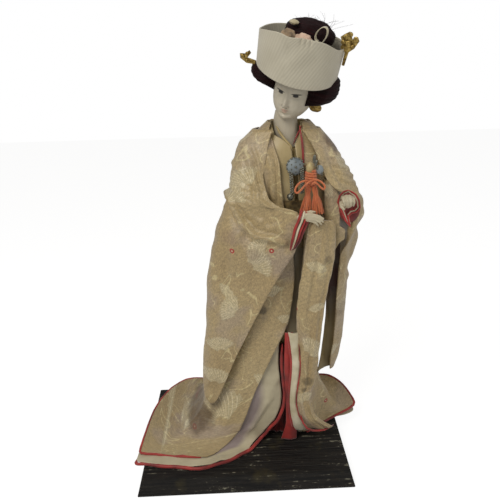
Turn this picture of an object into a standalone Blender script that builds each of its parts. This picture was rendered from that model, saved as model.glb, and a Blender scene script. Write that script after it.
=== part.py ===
"""Japanese bride doll in a trailing brocade robe, standing on a black wooden board.

Sizes below are in millimetres and are turned into metres once, where a mesh is made.
The doll faces -Y. The origin is the centre of the board's underside.
Heights of the doll are measured from the board's top face.
"""
import math

import bmesh
import bpy
import numpy as np
from mathutils import Matrix, Vector

MM = 0.001

# board
BASE_LENGTH = 224.0
BASE_WIDTH = 164.0
BASE_THICK = 18.0
BASE_FLARE = 5.0

# cloth and clearances
GAP = 0.4
CLOTH = 1.2
UNDER_IN = 4.6
UNDER_HEM_Z = 1.9
UNDER_LIP = 1.6
ROLL = 1.6

# robe
NECK_Z = 360.0
FLARE_Z = 132.0
HEM_Z = 4.6

# head
HEAD_AT = (57.0, -10.0, 388.3)
HEAD_TURN = -28.0
HEAD_NOD = 14.0
HEAD_LEAN = 16.0
FACE_HALF = 19.4

# hood
HOOD_A = 38.0
HOOD_B = 34.0
HOOD_THICK = 1.2

for old in list(bpy.data.objects):
    bpy.data.objects.remove(old, do_unlink=True)

collection = bpy.data.collections.new("bride_doll")
bpy.context.scene.collection.children.link(collection)


def material(name, colour, roughness, metallic=0.0):
    """a Principled material of one colour"""
    made = bpy.data.materials.new(name)
    made.use_nodes = True
    shader = made.node_tree.nodes["Principled BSDF"]
    linear = [((c / 255 + 0.055) / 1.055) ** 2.4 for c in colour]
    shader.inputs["Base Color"].default_value = (*linear, 1.0)
    shader.inputs["Roughness"].default_value = roughness
    shader.inputs["Metallic"].default_value = metallic
    return made


BLACK_WOOD = material("black_wood", (28, 26, 24), 0.45)
STRAW = material("straw", (176, 150, 96), 0.9)
FACE_WHITE = material("face_white", (196, 188, 168), 0.45)
HAIR_DARK = material("hair_dark", (40, 20, 24), 0.5)
HOOD_CREPE = material("hood_crepe", (206, 200, 180), 0.7)
BROCADE = material("brocade", (176, 160, 124), 0.6)
KIMONO_SATIN = material("kimono_satin", (168, 156, 150), 0.5)
RED_SILK = material("red_silk", (168, 40, 42), 0.5)
OBI_GOLD = material("obi_gold", (150, 132, 84), 0.5)
GOLD_METAL = material("gold_metal", (160, 128, 48), 0.35, 0.9)
SILVER_METAL = material("silver_metal", (110, 110, 104), 0.35, 0.9)
POUCH_BLUE = material("pouch_blue", (126, 138, 146), 0.6)
ORANGE_CORD = material("orange_cord", (206, 108, 62), 0.7)


def smooth(keys, at):
    """value at a place on the smooth line through keys of (place, value, ...)"""
    keys = np.array(keys, dtype=float)
    places = keys[:, 0]
    values = keys[:, 1:]
    at = min(max(at, places[0]), places[-1])
    slopes = np.diff(values, axis=0) / np.diff(places)[:, None]
    tangent = np.zeros_like(values)
    tangent[0] = slopes[0]
    tangent[-1] = slopes[-1]
    for i in range(1, len(places) - 1):
        same = slopes[i - 1] * slopes[i] > 0
        mean = 2 * slopes[i - 1] * slopes[i] / np.where(same, slopes[i - 1] + slopes[i], 1)
        tangent[i] = np.where(same, mean, 0)
    i = min(int(np.searchsorted(places, at, side="right")) - 1, len(places) - 2)
    width = places[i + 1] - places[i]
    t = (at - places[i]) / width
    found = (
        (2 * t**3 - 3 * t**2 + 1) * values[i]
        + (t**3 - 2 * t**2 + t) * width * tangent[i]
        + (3 * t**2 - 2 * t**3) * values[i + 1]
        + (t**3 - t**2) * width * tangent[i + 1]
    )
    return found if len(found) > 1 else float(found[0])


def place(name, bm, look, soft=True, floor=True):
    """turn a mesh in millimetres into an object in metres"""
    bmesh.ops.recalc_face_normals(bm, faces=bm.faces)
    if bm.calc_volume(signed=True) < 0 and all(edge.is_manifold for edge in bm.edges):
        bmesh.ops.reverse_faces(bm, faces=bm.faces)
    if floor:
        bmesh.ops.translate(bm, vec=(0, 0, BASE_THICK), verts=bm.verts)
    bmesh.ops.scale(bm, vec=(MM, MM, MM), verts=bm.verts)
    mesh = bpy.data.meshes.new(name)
    bm.to_mesh(mesh)
    bm.free()
    if soft:
        mesh.shade_smooth()
    mesh.materials.append(look)
    item = bpy.data.objects.new(name, mesh)
    collection.objects.link(item)
    return item


def layer(name, look, across, rows, inner, outer):
    """closed sheet between two surfaces, each a function of (u in 0..1, one of the rows)"""
    down = len(rows) - 1
    bm = bmesh.new()
    bmesh.ops.create_grid(bm, x_segments=across, y_segments=down, size=0.5)
    bmesh.ops.triangulate(bm, faces=bm.faces[:])
    flat = list(bm.verts)
    raised = bmesh.ops.extrude_face_region(bm, geom=bm.faces[:])
    lifted = [item for item in raised["geom"] if isinstance(item, bmesh.types.BMVert)]
    for verts, surface in ((flat, inner), (lifted, outer)):
        for vert in verts:
            vert.co = surface(vert.co.x + 0.5, rows[round((vert.co.y + 0.5) * down)])
    return place(name, bm, look)


def steps(first, last, count):
    """evenly spaced values with both ends"""
    return [first + (last - first) * i / count for i in range(count + 1)]


def loft(name, look, rings, floor=True):
    """closed solid through rings that all have the same number of points"""
    bm = bmesh.new()
    made = [[bm.verts.new(point) for point in ring] for ring in rings]
    for low, high in zip(made[:-1], made[1:]):
        for i in range(len(low)):
            j = (i + 1) % len(low)
            bm.faces.new((low[i], low[j], high[j], high[i]))
    for ring in (made[0], made[-1]):
        centre = bm.verts.new(sum((v.co for v in ring), Vector()) / len(ring))
        for i in range(len(ring)):
            bm.faces.new((ring[i], ring[(i + 1) % len(ring)], centre))
    return place(name, bm, look, floor=floor)


def tube(name, look, points, radius, sides=1, cyclic=False):
    """round bar along a line of points"""
    curve = bpy.data.curves.new(name, "CURVE")
    curve.dimensions = "3D"
    curve.bevel_depth = radius * MM
    curve.bevel_resolution = sides
    curve.use_fill_caps = True
    line = curve.splines.new("POLY")
    line.points.add(len(points) - 1)
    for spot, point in zip(line.points, points):
        spot.co = (point[0] * MM, point[1] * MM, (point[2] + BASE_THICK) * MM, 1)
    line.use_cyclic_u = cyclic
    curve.materials.append(look)
    item = bpy.data.objects.new(name, curve)
    collection.objects.link(item)
    return item


def ball(name, look, centre, half, turn=None, segments=16, rings=10):
    """ellipsoid with half sizes, turned by a matrix"""
    bm = bmesh.new()
    bmesh.ops.create_uvsphere(bm, u_segments=segments, v_segments=rings, radius=1)
    turn = turn or Matrix.Identity(3)
    for vert in bm.verts:
        local = Vector((vert.co.x * half[0], vert.co.y * half[1], vert.co.z * half[2]))
        vert.co = turn @ local + Vector(centre)
    return place(name, bm, look)


def power(value, exponent):
    return math.copysign(abs(value) ** exponent, value)


# board with sloping sides
bm = bmesh.new()
bmesh.ops.create_cube(bm, size=1)
for vert in bm.verts:
    spread = 0 if vert.co.z > 0 else 2 * BASE_FLARE
    vert.co.x = math.copysign((BASE_LENGTH + spread) / 2, vert.co.x)
    vert.co.y = math.copysign((BASE_WIDTH + spread) / 2, vert.co.y)
    vert.co.z = BASE_THICK if vert.co.z > 0 else 0
bmesh.ops.bevel(bm, geom=bm.edges[:], offset=0.8, segments=1, affect="EDGES")
place("base_board", bm, BLACK_WOOD, soft=False, floor=False)

# outline of the dressed body by height: left, right, front, back
BODY = [
    (0.0, -34, 88, -34, 66),
    (60.0, -30, 86, -33, 64),
    (92.0, -22, 85, -32, 62),
    (132.0, -10, 86, -31, 56),
    (182.0, 0, 88, -29, 48),
    (242.0, 8, 93, -29, 40),
    (282.0, 8, 98, -30, 38),
    (312.0, 6, 98, -29, 36),
    (332.0, 9, 94, -24, 32),
    (348.0, 20, 85, -18, 27),
    (360.0, 31, 76, -14, 22),
]

# hem of the robe by direction in degrees, 0 in front, 90 to +X: x, y, height
HEM = [
    (-180, 20, 82, 9),
    (-150, -35, 86, 11),
    (-122, -75, 87, 12),
    (-105, -101, 60, 8),
    (-90, -114, 15, 6),
    (-72, -118, -43, 5),
    (-60, -81, -50, HEM_Z),
    (-50, -44, -56, HEM_Z),
    (-40, -17, -48, HEM_Z),
    (-30, 8, -36, HEM_Z),
    (-18, 28, -25, HEM_Z),
    (0, 46, -24, HEM_Z),
    (18, 60, -25, HEM_Z),
    (32, 71, -21, HEM_Z),
    (50, 85, -9, HEM_Z),
    (62, 93, -5, HEM_Z),
    (74, 106, 4, 6),
    (86, 128, 11, 10),
    (93, 137, 20, 13),
    (105, 128, 43, 22),
    (120, 112, 58, 27),
    (140, 88, 72, 20),
    (160, 56, 80, 10),
    (180, 20, 82, 9),
]


def body_point(angle, height, depth=0.0):
    """a point at a depth below the dressed body's outline"""
    left, right, front, back = smooth(BODY, height)
    radians = math.radians(angle)
    x = (left + right) / 2 + ((right - left) / 2 - depth) * power(math.sin(radians), 0.9)
    y = (front + back) / 2 - ((back - front) / 2 - depth) * power(math.cos(radians), 0.9)
    return Vector((x, y, height))


def fall_height(fall):
    """height of the robe along its flare, from 0 at the top to 1 at the hem"""
    return HEM_Z + (FLARE_Z - HEM_Z) * (1 - fall) ** 2.2


def robe_point(angle, level, depth=0.0):
    """a point of the robe's outer face: level 0 is the neck, 1 the flare, 2 the hem"""
    fall = min(max(level - 1, 0), 1)
    height = NECK_Z - (NECK_Z - FLARE_Z) * min(level, 1)
    if fall > 0:
        height = fall_height(fall)
    spot = body_point(angle, height, depth)
    if fall > 0:
        hem = smooth(HEM, angle)
        share = fall**2
        spot.x += (hem[0] - spot.x) * share
        spot.y += (hem[1] - spot.y) * share
        spot.z += (hem[2] - HEM_Z) * fall**3
    fold = (1 + math.sin(math.radians(angle * 9))) * math.sin(math.pi * fall) ** 2
    spot.x += 0.9 * fold * math.sin(math.radians(angle))
    spot.y -= 0.9 * fold * math.cos(math.radians(angle))
    return spot


def wrap(first, last, u):
    """angle on the way from the last edge round the back to the first edge"""
    angle = last + (first + 360 - last) * u
    return angle - 360 if angle > 180 else angle


def normal(surface, angle, level, top):
    """outward direction of a surface of (angle, level)"""
    level = min(max(level, 0.02), top - 0.015)
    side = surface(min(angle + 2, 180), level) - surface(max(angle - 2, -180), level)
    along = surface(angle, level + 0.015) - surface(angle, level - 0.015)
    return along.cross(side).normalized()


# straw body on its post, inside the clothes
rings = []
for height in (GAP, 120, 132, 200, 260, 300, 324, 335):
    ring = []
    for step in range(16):
        angle = step * 22.5 - 180
        if height < 130:
            radius = 20 + 5 * (height / 120) ** 2
            radians = math.radians(angle)
            ring.append((44 + radius * math.sin(radians), 14 - radius * math.cos(radians), height))
        else:
            ring.append(body_point(angle, height, UNDER_IN + CLOTH + 3.2))
    rings.append(ring)
loft("straw_body", STRAW, rings)


# red underskirt round the legs
def skirt_point(u, height, out):
    radians = math.radians(-178 + 356 * u)
    down = 1 - height / 118
    radius = 27 + out + 1.5 * down * math.sin(radians * 8) + 1.5 * down**2
    return Vector((44 + radius * math.sin(radians), 14 - radius * math.cos(radians), height + GAP))


layer("red_underskirt", RED_SILK, 22, steps(118, 0, 2), lambda u, v: skirt_point(u, v, -CLOTH),
      lambda u, v: skirt_point(u, v, 0))

# under kimono, open in front at the neck and at the hem; level 2.2 is its hem in front
UNDER_ROWS = (0, 0.09, 0.18, 0.325, 0.545, 0.72, 0.9, 1.1, 1.3, 1.5, 1.65, 1.8, 1.9, 2.0, 2.2)
UNDER_RIGHT = [(0, -82), (0.05, -30), (0.09, 2), (0.15, 4), (0.9, 4), (1.0, 3), (1.3, 12), (1.5, 3),
               (1.7, -14), (2.0, -30), (2.2, -32)]
UNDER_LEFT = [(0, 34), (0.05, 17), (0.09, 8), (0.15, 9), (0.9, 9), (1.0, 13), (1.3, 21), (1.6, 27), (2.2, 30)]
UNDER_REACH = [(-100, 0, 0), (-85, -1, -2), (-72, -2, -10), (-60, -8, -13), (-50, -2, -10), (-40, 4, -8),
               (-28, 0, 0)]


def under_point(angle, level, depth=0.0):
    """a point of the under kimono's outer face; past level 2 it leaves the robe's hem"""
    fall = min(max(level - 1, 0), 1)
    spot = robe_point(angle, min(level, 2), UNDER_IN + depth)
    tuck = smooth([(-180, 0), (-20, 0), (5, 1), (68, 1), (100, 0), (180, 0)], angle)
    radians = math.radians(angle)
    if fall > 0:
        inset = (UNDER_IN + 1 + depth) * tuck * fall**2
        spot.x -= inset * math.sin(radians)
        spot.y += inset * math.cos(radians)
        spot.z = fall_height(fall) - (HEM_Z - UNDER_HEM_Z + depth) * fall
    if level > 2:
        past = (level - 2) / 0.2
        reach = smooth(UNDER_REACH, angle)
        lip = UNDER_LIP * (1 - 0.6 * tuck)
        spot.x += (reach[0] + lip * math.sin(radians)) * past
        spot.y += (reach[1] - lip * math.cos(radians)) * past
    return spot


def under_kimono(u, level, depth):
    angle = wrap(smooth(UNDER_RIGHT, level), smooth(UNDER_LEFT, level), u)
    return under_point(angle, level, depth)


layer("under_kimono", KIMONO_SATIN, 24, UNDER_ROWS, lambda u, v: under_kimono(u, v, CLOTH),
      lambda u, v: under_kimono(u, v, 0))

# obi under the robe
layer("obi", OBI_GOLD, 20, steps(286, 236, 2),
      lambda u, v: body_point(-178 + 356 * u, v, UNDER_IN - 0.8),
      lambda u, v: body_point(-178 + 356 * u, v, CLOTH + 0.8))

# brocade robe with its train
ROBE_ROWS = (0, 0.05, 0.1, 0.16, 0.24, 0.35, 0.5, 0.7, 0.85, 1.0, 1.1, 1.2, 1.3, 1.4, 1.5, 1.6,
             1.7, 1.8, 1.9, 2.0)
ROBE_COLUMNS = 34
ROBE_RIGHT = [(0, -60), (0.09, -20), (0.17, -11), (0.34, -8), (0.57, 6), (0.74, 12), (0.88, 11),
              (1.0, 2), (1.3, -17), (1.55, -31), (2, -50)]
ROBE_LEFT = [(0, 32), (0.1, 15), (0.34, 17), (0.57, 20), (1.0, 24), (1.5, 30), (2, 32)]


def robe(u, level, depth):
    angle = wrap(smooth(ROBE_RIGHT, level), smooth(ROBE_LEFT, level), u)
    return robe_point(angle, level) - normal(robe_point, angle, level, 2) * depth


layer("brocade_robe", BROCADE, ROBE_COLUMNS, ROBE_ROWS, lambda u, v: robe(u, v, CLOTH),
      lambda u, v: robe(u, v, 0))

# head and neck in one piece, in the head's own frame
turn = (
    Matrix.Rotation(math.radians(HEAD_TURN), 3, "Z")
    @ Matrix.Rotation(math.radians(HEAD_NOD), 3, "X")
    @ Matrix.Rotation(math.radians(HEAD_LEAN), 3, "Y")
)


def head(x, y, z):
    """a point given in the head's frame"""
    return turn @ Vector((x, y, z)) + Vector(HEAD_AT)


HEAD = [
    (-22.5, 5.5, -15.2, 9),
    (-20.5, 8.5, -16.6, 11),
    (-17, 11.8, -17.2, 13),
    (-12, 15.6, -17.8, 16),
    (-5, 18.2, -17.6, 19),
    (3, FACE_HALF, -17.2, 20.5),
    (12, 18.6, -16.6, 20.5),
    (20, 15, -13.5, 17),
    (25, 9.5, -8.5, 12),
    (27.5, 3, -2, 6),
]


def oval(height, half, front, back, count=20):
    ring = []
    for step in range(count):
        radians = 2 * math.pi * step / count
        x = half * math.sin(radians)
        y = (front + back) / 2 - (back - front) / 2 * math.cos(radians)
        ring.append((x, y, height))
    return ring


rings = [[head(*point) for point in oval(*size)] for size in reversed(HEAD)]
for number, ring in enumerate(rings):
    height = HEAD[-1 - number][0]
    lift = 4.2 * math.exp(-(((height + 6) / 6) ** 2))
    ring[0] += turn @ Vector((0, -lift, 0))
for height, x, y, half, front, back in (
    (362, 51, -1, 9.4, -10, 8.5),
    (352, 53, 0, 9.8, -9.6, 8.5),
    (344, 55, 1, 11, -9.4, 9.4),
    (335.4, 55, 2, 11.5, -9.6, 10),
):
    rings.append([Vector((x + px, y + py, height)) for px, py, _ in oval(0, half, front, back)])
loft("head", FACE_WHITE, rings)


# hair: the mass round the skull, the crown and the topknot
HAIR_TOP = 27.8
HAIR_CUT = [(0, 33, -14, 24), (0.2, 40, -19, 29), (0.4, 43.5, -21, 31), (0.62, 43, -21, 32),
            (0.74, 35.5, -20, 31), (1, 34.5, -19, 31)]


def hair_point(u, v, out):
    radians = math.radians(58 + 244 * u)
    bottom = -3.5 - 4 * math.sin(radians)
    shoulder = 20.2 + 2.2 * math.sin(radians)
    height = bottom + (shoulder - bottom) * v / 0.75
    if v > 0.75:
        height = shoulder + (HAIR_TOP - shoulder) * (v - 0.75) / 0.25
    if out:
        half, front, back = smooth(HAIR_CUT, v)
    else:
        half, front, back = smooth(HEAD, height)
        slack = 0.8 + 2.5 * max(height - 12, 0) / 16
        half, front, back = half + slack, front - slack, back + slack
    x = half * math.sin(radians)
    y = (front + back) / 2 - (back - front) / 2 * math.cos(radians)
    return head(x, y, height)


layer("hair_sides", HAIR_DARK, 20, steps(0, 1, 8), lambda u, v: hair_point(u, v, False),
      lambda u, v: hair_point(u, v, True))
rings = []
for height, half in ((HAIR_TOP + GAP, 35.2), (33, 35.6), (37, 33), (39, 24)):
    rings.append([head(x, y, z) for x, y, z in oval(height, half, -half * 0.7, half * 0.85)])
loft("hair_crown", HAIR_DARK, rings)
ball("hair_topknot", HAIR_DARK, head(2, 9, 51.6), (23, 16, 12), turn, 16, 8)

# hood band round the hair
bm = bmesh.new()
bmesh.ops.create_cone(bm, segments=28, cap_ends=False, radius1=1, radius2=1, depth=1)
for vert in bm.verts:
    front = max(0.0, -vert.co.y)
    top = vert.co.z > 0
    x = HOOD_A * vert.co.x + 0.2
    y = 2 + HOOD_B * vert.co.y
    z = 45 - 2 * vert.co.x + 13 * front**2 if top else 23.5 - 5.5 * front**1.5 + 2 * vert.co.x
    vert.co = head(x, y, z)
hood = place("hood_band", bm, HOOD_CREPE)
wall = hood.modifiers.new("thickness", "SOLIDIFY")
wall.thickness = HOOD_THICK * MM
wall.offset = -1

# ribbon loops, cloth and pins of the hair
bm = bmesh.new()
bmesh.ops.create_cone(bm, segments=16, cap_ends=False, radius1=1, radius2=1, depth=1)
for vert in bm.verts:
    wide = 5 * vert.co.x
    high = 9 * vert.co.y
    lean = 0.3 * high
    vert.co = head(7.8 + wide + lean, -11.5 + 4 * vert.co.z + 0.2 * high, 53 + high)
ribbon = place("hair_ribbon_loop", bm, HOOD_CREPE)
wall = ribbon.modifiers.new("thickness", "SOLIDIFY")
wall.thickness = 0.5 * MM
wall.offset = 0
ball("hair_ribbon_knot", HOOD_CREPE, head(-18.8, -4, 56), (6, 4, 4.5), turn, 10, 6)
ball("pink_lining_cloth", HOOD_CREPE, head(-6, -15, 46.4), (8, 6.5, 6.6), turn, 10, 6)


def plate(name, look, outline, thick, at):
    """flat plate with an outline in the head's x and z, at a head's y"""
    bm = bmesh.new()
    ring = [bm.verts.new((x, at, z)) for x, z in outline]
    face = bm.faces.new(ring)
    raised = bmesh.ops.extrude_face_region(bm, geom=[face])
    moved = [item for item in raised["geom"] if isinstance(item, bmesh.types.BMVert)]
    bmesh.ops.translate(bm, vec=(0, thick, 0), verts=moved)
    for vert in bm.verts:
        vert.co = head(*vert.co)
    return place(name, bm, look, soft=False)


plate("gold_flower_pin", GOLD_METAL, [(38.6, 34), (41, 34), (42, 46), (46, 50), (49, 57), (47, 60),
      (43, 57), (39, 63), (35, 60), (32, 57), (35, 53), (34, 48), (38.6, 45.5)], 1.2, 3)
plate("gold_curl_pin", GOLD_METAL, [(-41.2, 16), (-50, 15), (-57, 18), (-58, 22), (-53, 23), (-49, 27),
      (-47, 25), (-50, 20), (-41.2, 19.5)], 1.2, -4)
plate("gold_comb", GOLD_METAL, [(23, -8.1), (35, -8.1), (35, -13), (30, -16), (24, -15), (21, -11)],
      2, 6)

# left front of the robe, gathered and held up by the hand
PANEL = [(2, 67, -33.8, 5.5, 2.8), (30, 64, -38, 7, 3.5), (67, 60.5, -40, 8.5, 3.5),
         (134, 70, -39, 11, 4), (177, 71.5, -39, 14, 4), (232, 79, -40, 15, 4.5),
         (262, 80.5, -42, 14, 4), (268, 80.5, -43, 12, 3)]
rings = []
for step in range(12):
    height = 0.6 + 267.4 * (1 - step / 11)
    x, y, wide, deep = smooth(PANEL, height)
    ring = []
    for count in range(16):
        radians = math.radians(22.5 * count)
        wave = 1 + 0.16 * math.cos(radians * 4 + height / 60)
        across = wide * math.sin(radians)
        ring.append(Vector((x + across, y - deep * wave * math.cos(radians), height)))
    rings.append(ring)
loft("robe_left_front", BROCADE, rings)


# sleeves: an outer curve from the back edge round to the front edge, and a wall inside it
def sleeve(name, back_keys, front_keys, side_keys, bulge_keys, wall_keys, low, high, rows, columns,
           sign):
    def curve(u, height):
        back = smooth(back_keys, height)
        front = smooth(front_keys, height)
        side = smooth(side_keys, height)
        swell = smooth(bulge_keys, height)
        reach = math.sqrt(max((back[0] - side) * (front[0] - side), 0))
        bend_x = side - sign * reach
        x = (1 - u) ** 2 * back[0] + 2 * u * (1 - u) * bend_x + u**2 * front[0]
        y = (1 - u) ** 2 * back[1] + 2 * u * (1 - u) * swell + u**2 * front[1]
        return Vector((x, y, height))

    def inner(u, height):
        spot = curve(u, height)
        along = curve(min(u + 0.01, 1), height) - curve(max(u - 0.01, 0), height)
        inward = Vector((-along.y, along.x, 0)).normalized() * sign
        thick, front_thick = smooth(wall_keys, height)
        deep = thick + (front_thick - thick) * u**2
        round_off = math.sqrt(max(1 - abs(2 * u - 1) ** 4, 0))
        return spot + inward * (1.5 + (deep - 1.5) * round_off)

    return layer(name, BROCADE, columns, steps(high, low, rows), inner, curve)


sleeve(
    "right_sleeve",
    [(50, -41, -15), (79, -42, -6), (127, -34, 4), (187, -27, 10), (222, -20, 16), (249, -14, 22),
     (269, -8, 26), (288, -3, 28), (312, 1, 28), (332, 6, 24), (350, 20.6, 16)],
    [(50, -31, -26), (63, -28, -28), (117, -6, -33), (190, 28, -41), (230, 50, -44), (237, 54, -46),
     (257, 59, -48), (272, 60, -48), (280, 56, -47), (284, 40, -44), (292, 30, -38), (312, 26, -29),
     (332, 30, -23.5), (350, 33, -15)],
    [(50, -43.5), (60, -45), (79, -47), (127, -42), (187, -36), (222, -30), (249, -25), (269, -17),
     (288, -11), (307, -6), (319, -3), (338, 2), (350, 13.6)],
    [(50, -23), (79, -20), (187, -24), (249, -38), (288, -34), (332, -20), (350, -8)],
    [(50, 2.4, 2.2), (79, 5, 5), (187, 9, 9), (249, 12, 11), (275, 12, 11), (288, 9, 6), (312, 6, 4),
     (332, 5, 4), (350, 4, 3)],
    50, 350, 20, 11, 1,
)
sleeve(
    "left_sleeve",
    [(75, 107, 22), (91, 109, 26), (123, 112, 32), (232, 114, 34), (282, 112, 32), (312, 104, 30),
     (332, 94, 26), (350, 82, 16)],
    [(75, 103, 0), (91, 101, -8), (123, 103, -14), (222, 106, -18), (245, 112, -30),
     (255, 113, -35), (288, 112, -36), (294, 102, -37), (300, 93, -37), (306, 88, -34.5),
     (320, 81, -28.5), (332, 77, -25), (350, 68, -18.8)],
    [(75, 109.5), (91, 114), (123, 118), (176, 120), (204, 122), (232, 127), (252, 125), (265, 129),
     (282, 128), (291, 122), (304, 118), (317, 111), (335, 100), (350, 88)],
    [(75, 8), (232, 0), (282, -22), (332, -19), (350, -8)],
    [(75, 4, 3), (123, 4, 2.5), (222, 5, 4), (255, 12, 12), (285, 12, 12), (300, 8, 5), (320, 4, 3.5),
     (332, 3, 3), (350, 1.6, 1.5)],
    75, 350, 19, 10, -1,
)


def inner_wall(u, height, out):
    """lining of the left sleeve, from the robe's side to the sleeve's front edge"""
    low = max(238 - height, 0) / 160
    side = 91.4 + 3 * math.sin(low * 3) + 5 * low**4
    front, depth = smooth([(78, 101, 6), (91, 99.6, 2), (123, 102.6, -6), (222, 105.8, -10),
                           (238, 105.6, -14), (250, 103.2, -16)], height)
    return Vector((side + (front - side) * u, -10 + (depth + 10) * u + 3 * math.sin(math.pi * u) + out, height))


layer("left_sleeve_lining", RED_SILK, 3, steps(250, 78, 8), lambda u, v: inner_wall(u, v, CLOTH),
      lambda u, v: inner_wall(u, v, 0))


def chest_wing(u, height, out):
    """part of the robe's left front that hangs from the chest to below the left cuff"""
    right = smooth([(232, 95), (242, 100), (248, 106), (256, 106), (262, 100), (285, 100), (292, 99),
                    (300, 94), (306, 90)], height)
    front = smooth([(232, -33.4), (250, -34.8), (268, -35.2), (285, -33.6), (306, -28.6)], height)
    return Vector((86 + (right - 86) * u, front + 5 * (1 - u) ** 2 + out, height))


layer("robe_left_chest", BROCADE, 3, steps(306, 232, 8), lambda u, v: chest_wing(u, v, CLOTH),
      lambda u, v: chest_wing(u, v, 0))


def cuff_wall(u, height, out):
    first = smooth([(230, 50), (237, 54), (257, 59), (272, 60), (280, 56)], height)
    wide = smooth([(238, 2), (250, 7), (265, 11), (276, 10), (280, 6)], height)
    return Vector((first - 2 + wide * u, -50.2 + 1.4 * u + out, height))


layer("right_cuff_lining", RED_SILK, 3, steps(280, 238, 6), lambda u, v: cuff_wall(u, v, 1.8),
      lambda u, v: cuff_wall(u, v, 0))
tube("left_cuff_edge", RED_SILK, [(101, -38, 296), (98.5, -38, 288), (99.5, -38.5, 278),
     (104, -39, 268), (109, -39, 258), (113, -39, 262), (119, -39, 272), (121, -38, 283),
     (117, -38, 292), (109, -38, 298)], 1.4, cyclic=True)


def hand(name, spine, sizes):
    """hand as a solid through flat ovals along its line"""
    rings = []
    for number, point in enumerate(spine):
        before = Vector(spine[max(number - 1, 0)])
        after = Vector(spine[min(number + 1, len(spine) - 1)])
        along = (after - before).normalized()
        side = along.cross(Vector((0, 0, 1))).normalized()
        lift = side.cross(along)
        wide, thick = sizes[number]
        ring = []
        for step in range(12):
            radians = math.radians(30 * step)
            ring.append(Vector(point) + lift * wide * math.sin(radians)
                        + side * thick * math.cos(radians))
        rings.append(ring)
    return loft(name, FACE_WHITE, rings)


hand("right_hand", [(70.6, -44, 272), (74, -48, 274), (78, -51, 274.5), (83, -52, 272),
                    (87, -52.5, 270), (89, -52.5, 269.3)],
     [(4, 3.4), (5, 3.6), (5.2, 3), (4.2, 2.6), (3, 2), (1.5, 1)])
hand("left_hand", [(109, -38.4, 284), (108.5, -41, 285), (108, -45, 286), (107.5, -49, 285.5),
                   (107, -51, 284.6)],
     [(5, 5), (6.8, 6.4), (7.5, 6.8), (5.5, 5), (2, 2)])

def edge_roll(name, edge, inside, radius, lowest):
    """padded roll just past a sheet's edge, in line with the sheet"""
    line = []
    for number, (spot, near) in enumerate(zip(edge, inside)):
        along = edge[min(number + 1, len(edge) - 1)] - edge[max(number - 1, 0)]
        onward = spot - near
        onward = (onward - onward.project(along)).normalized()
        centre = spot + onward * (radius + 2 * GAP)
        centre.z = max(centre.z - CLOTH / 2, radius + lowest)
        line.append(centre)
    return tube(name, RED_SILK, line, radius)


# padded hems: red rolls along the robe's and the under kimono's edges
columns = [i / ROBE_COLUMNS for i in range(ROBE_COLUMNS + 1)]
edge_roll("robe_hem_roll", [robe(u, 2, 0) for u in columns], [robe(u, 1.95, 0) for u in columns],
          ROLL, 0.4)
angles = steps(-34, -70, 8)
edge_roll("under_hem_roll", [under_point(angle, 2.2) for angle in angles],
          [under_point(angle, 2.15) for angle in angles], 0.9, 0.4)
levels = [level for level in UNDER_ROWS if 1 < level < 1.9]
edge_roll("under_edge_roll", [under_point(smooth(UNDER_RIGHT, level), level) for level in levels],
          [under_point(smooth(UNDER_RIGHT, level) - 5, level) for level in levels], 1.3, 0.4)

# collar strip and the chest ornaments
tube("red_collar", RED_SILK, [(62, -16.4, 357), (64, -22.9, 341), (64.5, -27, 325), (64.5, -29.4, 312)],
     1.2)
ball("pouch_disc", POUCH_BLUE, (54.4, -29.4, 320.5), (8.5, 6, 8.5), None, 16, 6)
tube("chain_left", SILVER_METAL, [(50.2, -29.6, 312.3), (50.2, -31.8, 300), (51, -32.6, 288)], 1.5)
tube("chain_right", SILVER_METAL, [(58.6, -29.6, 312.4), (60.2, -33, 298), (58, -33.4, 286)], 1.5)
ball("chain_bead", SILVER_METAL, (51, -32.6, 284), (3.4, 3.4, 3.4), None, 8, 6)
tube("silk_sheath", HOOD_CREPE, [(70.8, -30, 325), (71.2, -30.6, 318), (71.2, -31.4, 311)], 4.6)
ball("blue_drop", POUCH_BLUE, (82, -34, 316), (5, 2.4, 6), None, 10, 6)
ball("sheath_binding", ORANGE_CORD, (71, -34, 305.6), (5, 6, 4.8), None, 12, 6)
tube("bow_loop_left", ORANGE_CORD, [(69.6, -40.5, 303.8), (63, -44, 305), (57, -44, 299),
     (59, -44, 294), (65, -46.8, 296)], 1.1)
tube("bow_loop_right", ORANGE_CORD, [(72.4, -40.5, 303.8), (78, -44.5, 304), (84, -44, 298),
     (81, -45, 294), (76, -47, 297)], 1.1)
rings = []
for x, y, height, half in ((68.6, -37.4, 299.8, 2), (67, -38.6, 294, 3), (66, -39.5, 286, 4.6),
                           (66, -39.5, 279, 5.4)):
    rings.append([Vector((x + px, y + py, z)) for px, py, z in oval(height, half, -half, half, 12)])
loft("tassel_left", ORANGE_CORD, rings)
rings = []
for x, y, height, half in ((73.4, -37.4, 299.8, 2), (76.4, -39, 294, 3.2), (78.4, -40, 286, 5),
                           (78.4, -40, 277, 6)):
    rings.append([Vector((x + px, y + py, z)) for px, py, z in oval(height, half, -half, half, 12)])
loft("tassel_right", ORANGE_CORD, rings)
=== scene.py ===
"""Looks of a Japanese bride doll that stands on a black wooden board.

Each section below makes one piece, or a group of like pieces, in the order in which
the doll is put together. Sizes are in millimetres; heights of the doll are counted
from the board's top face, and put() turns both into metres.
"""
import math
import random

import bmesh
import bpy
import numpy as np
from mathutils import Matrix, Vector, noise


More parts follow.
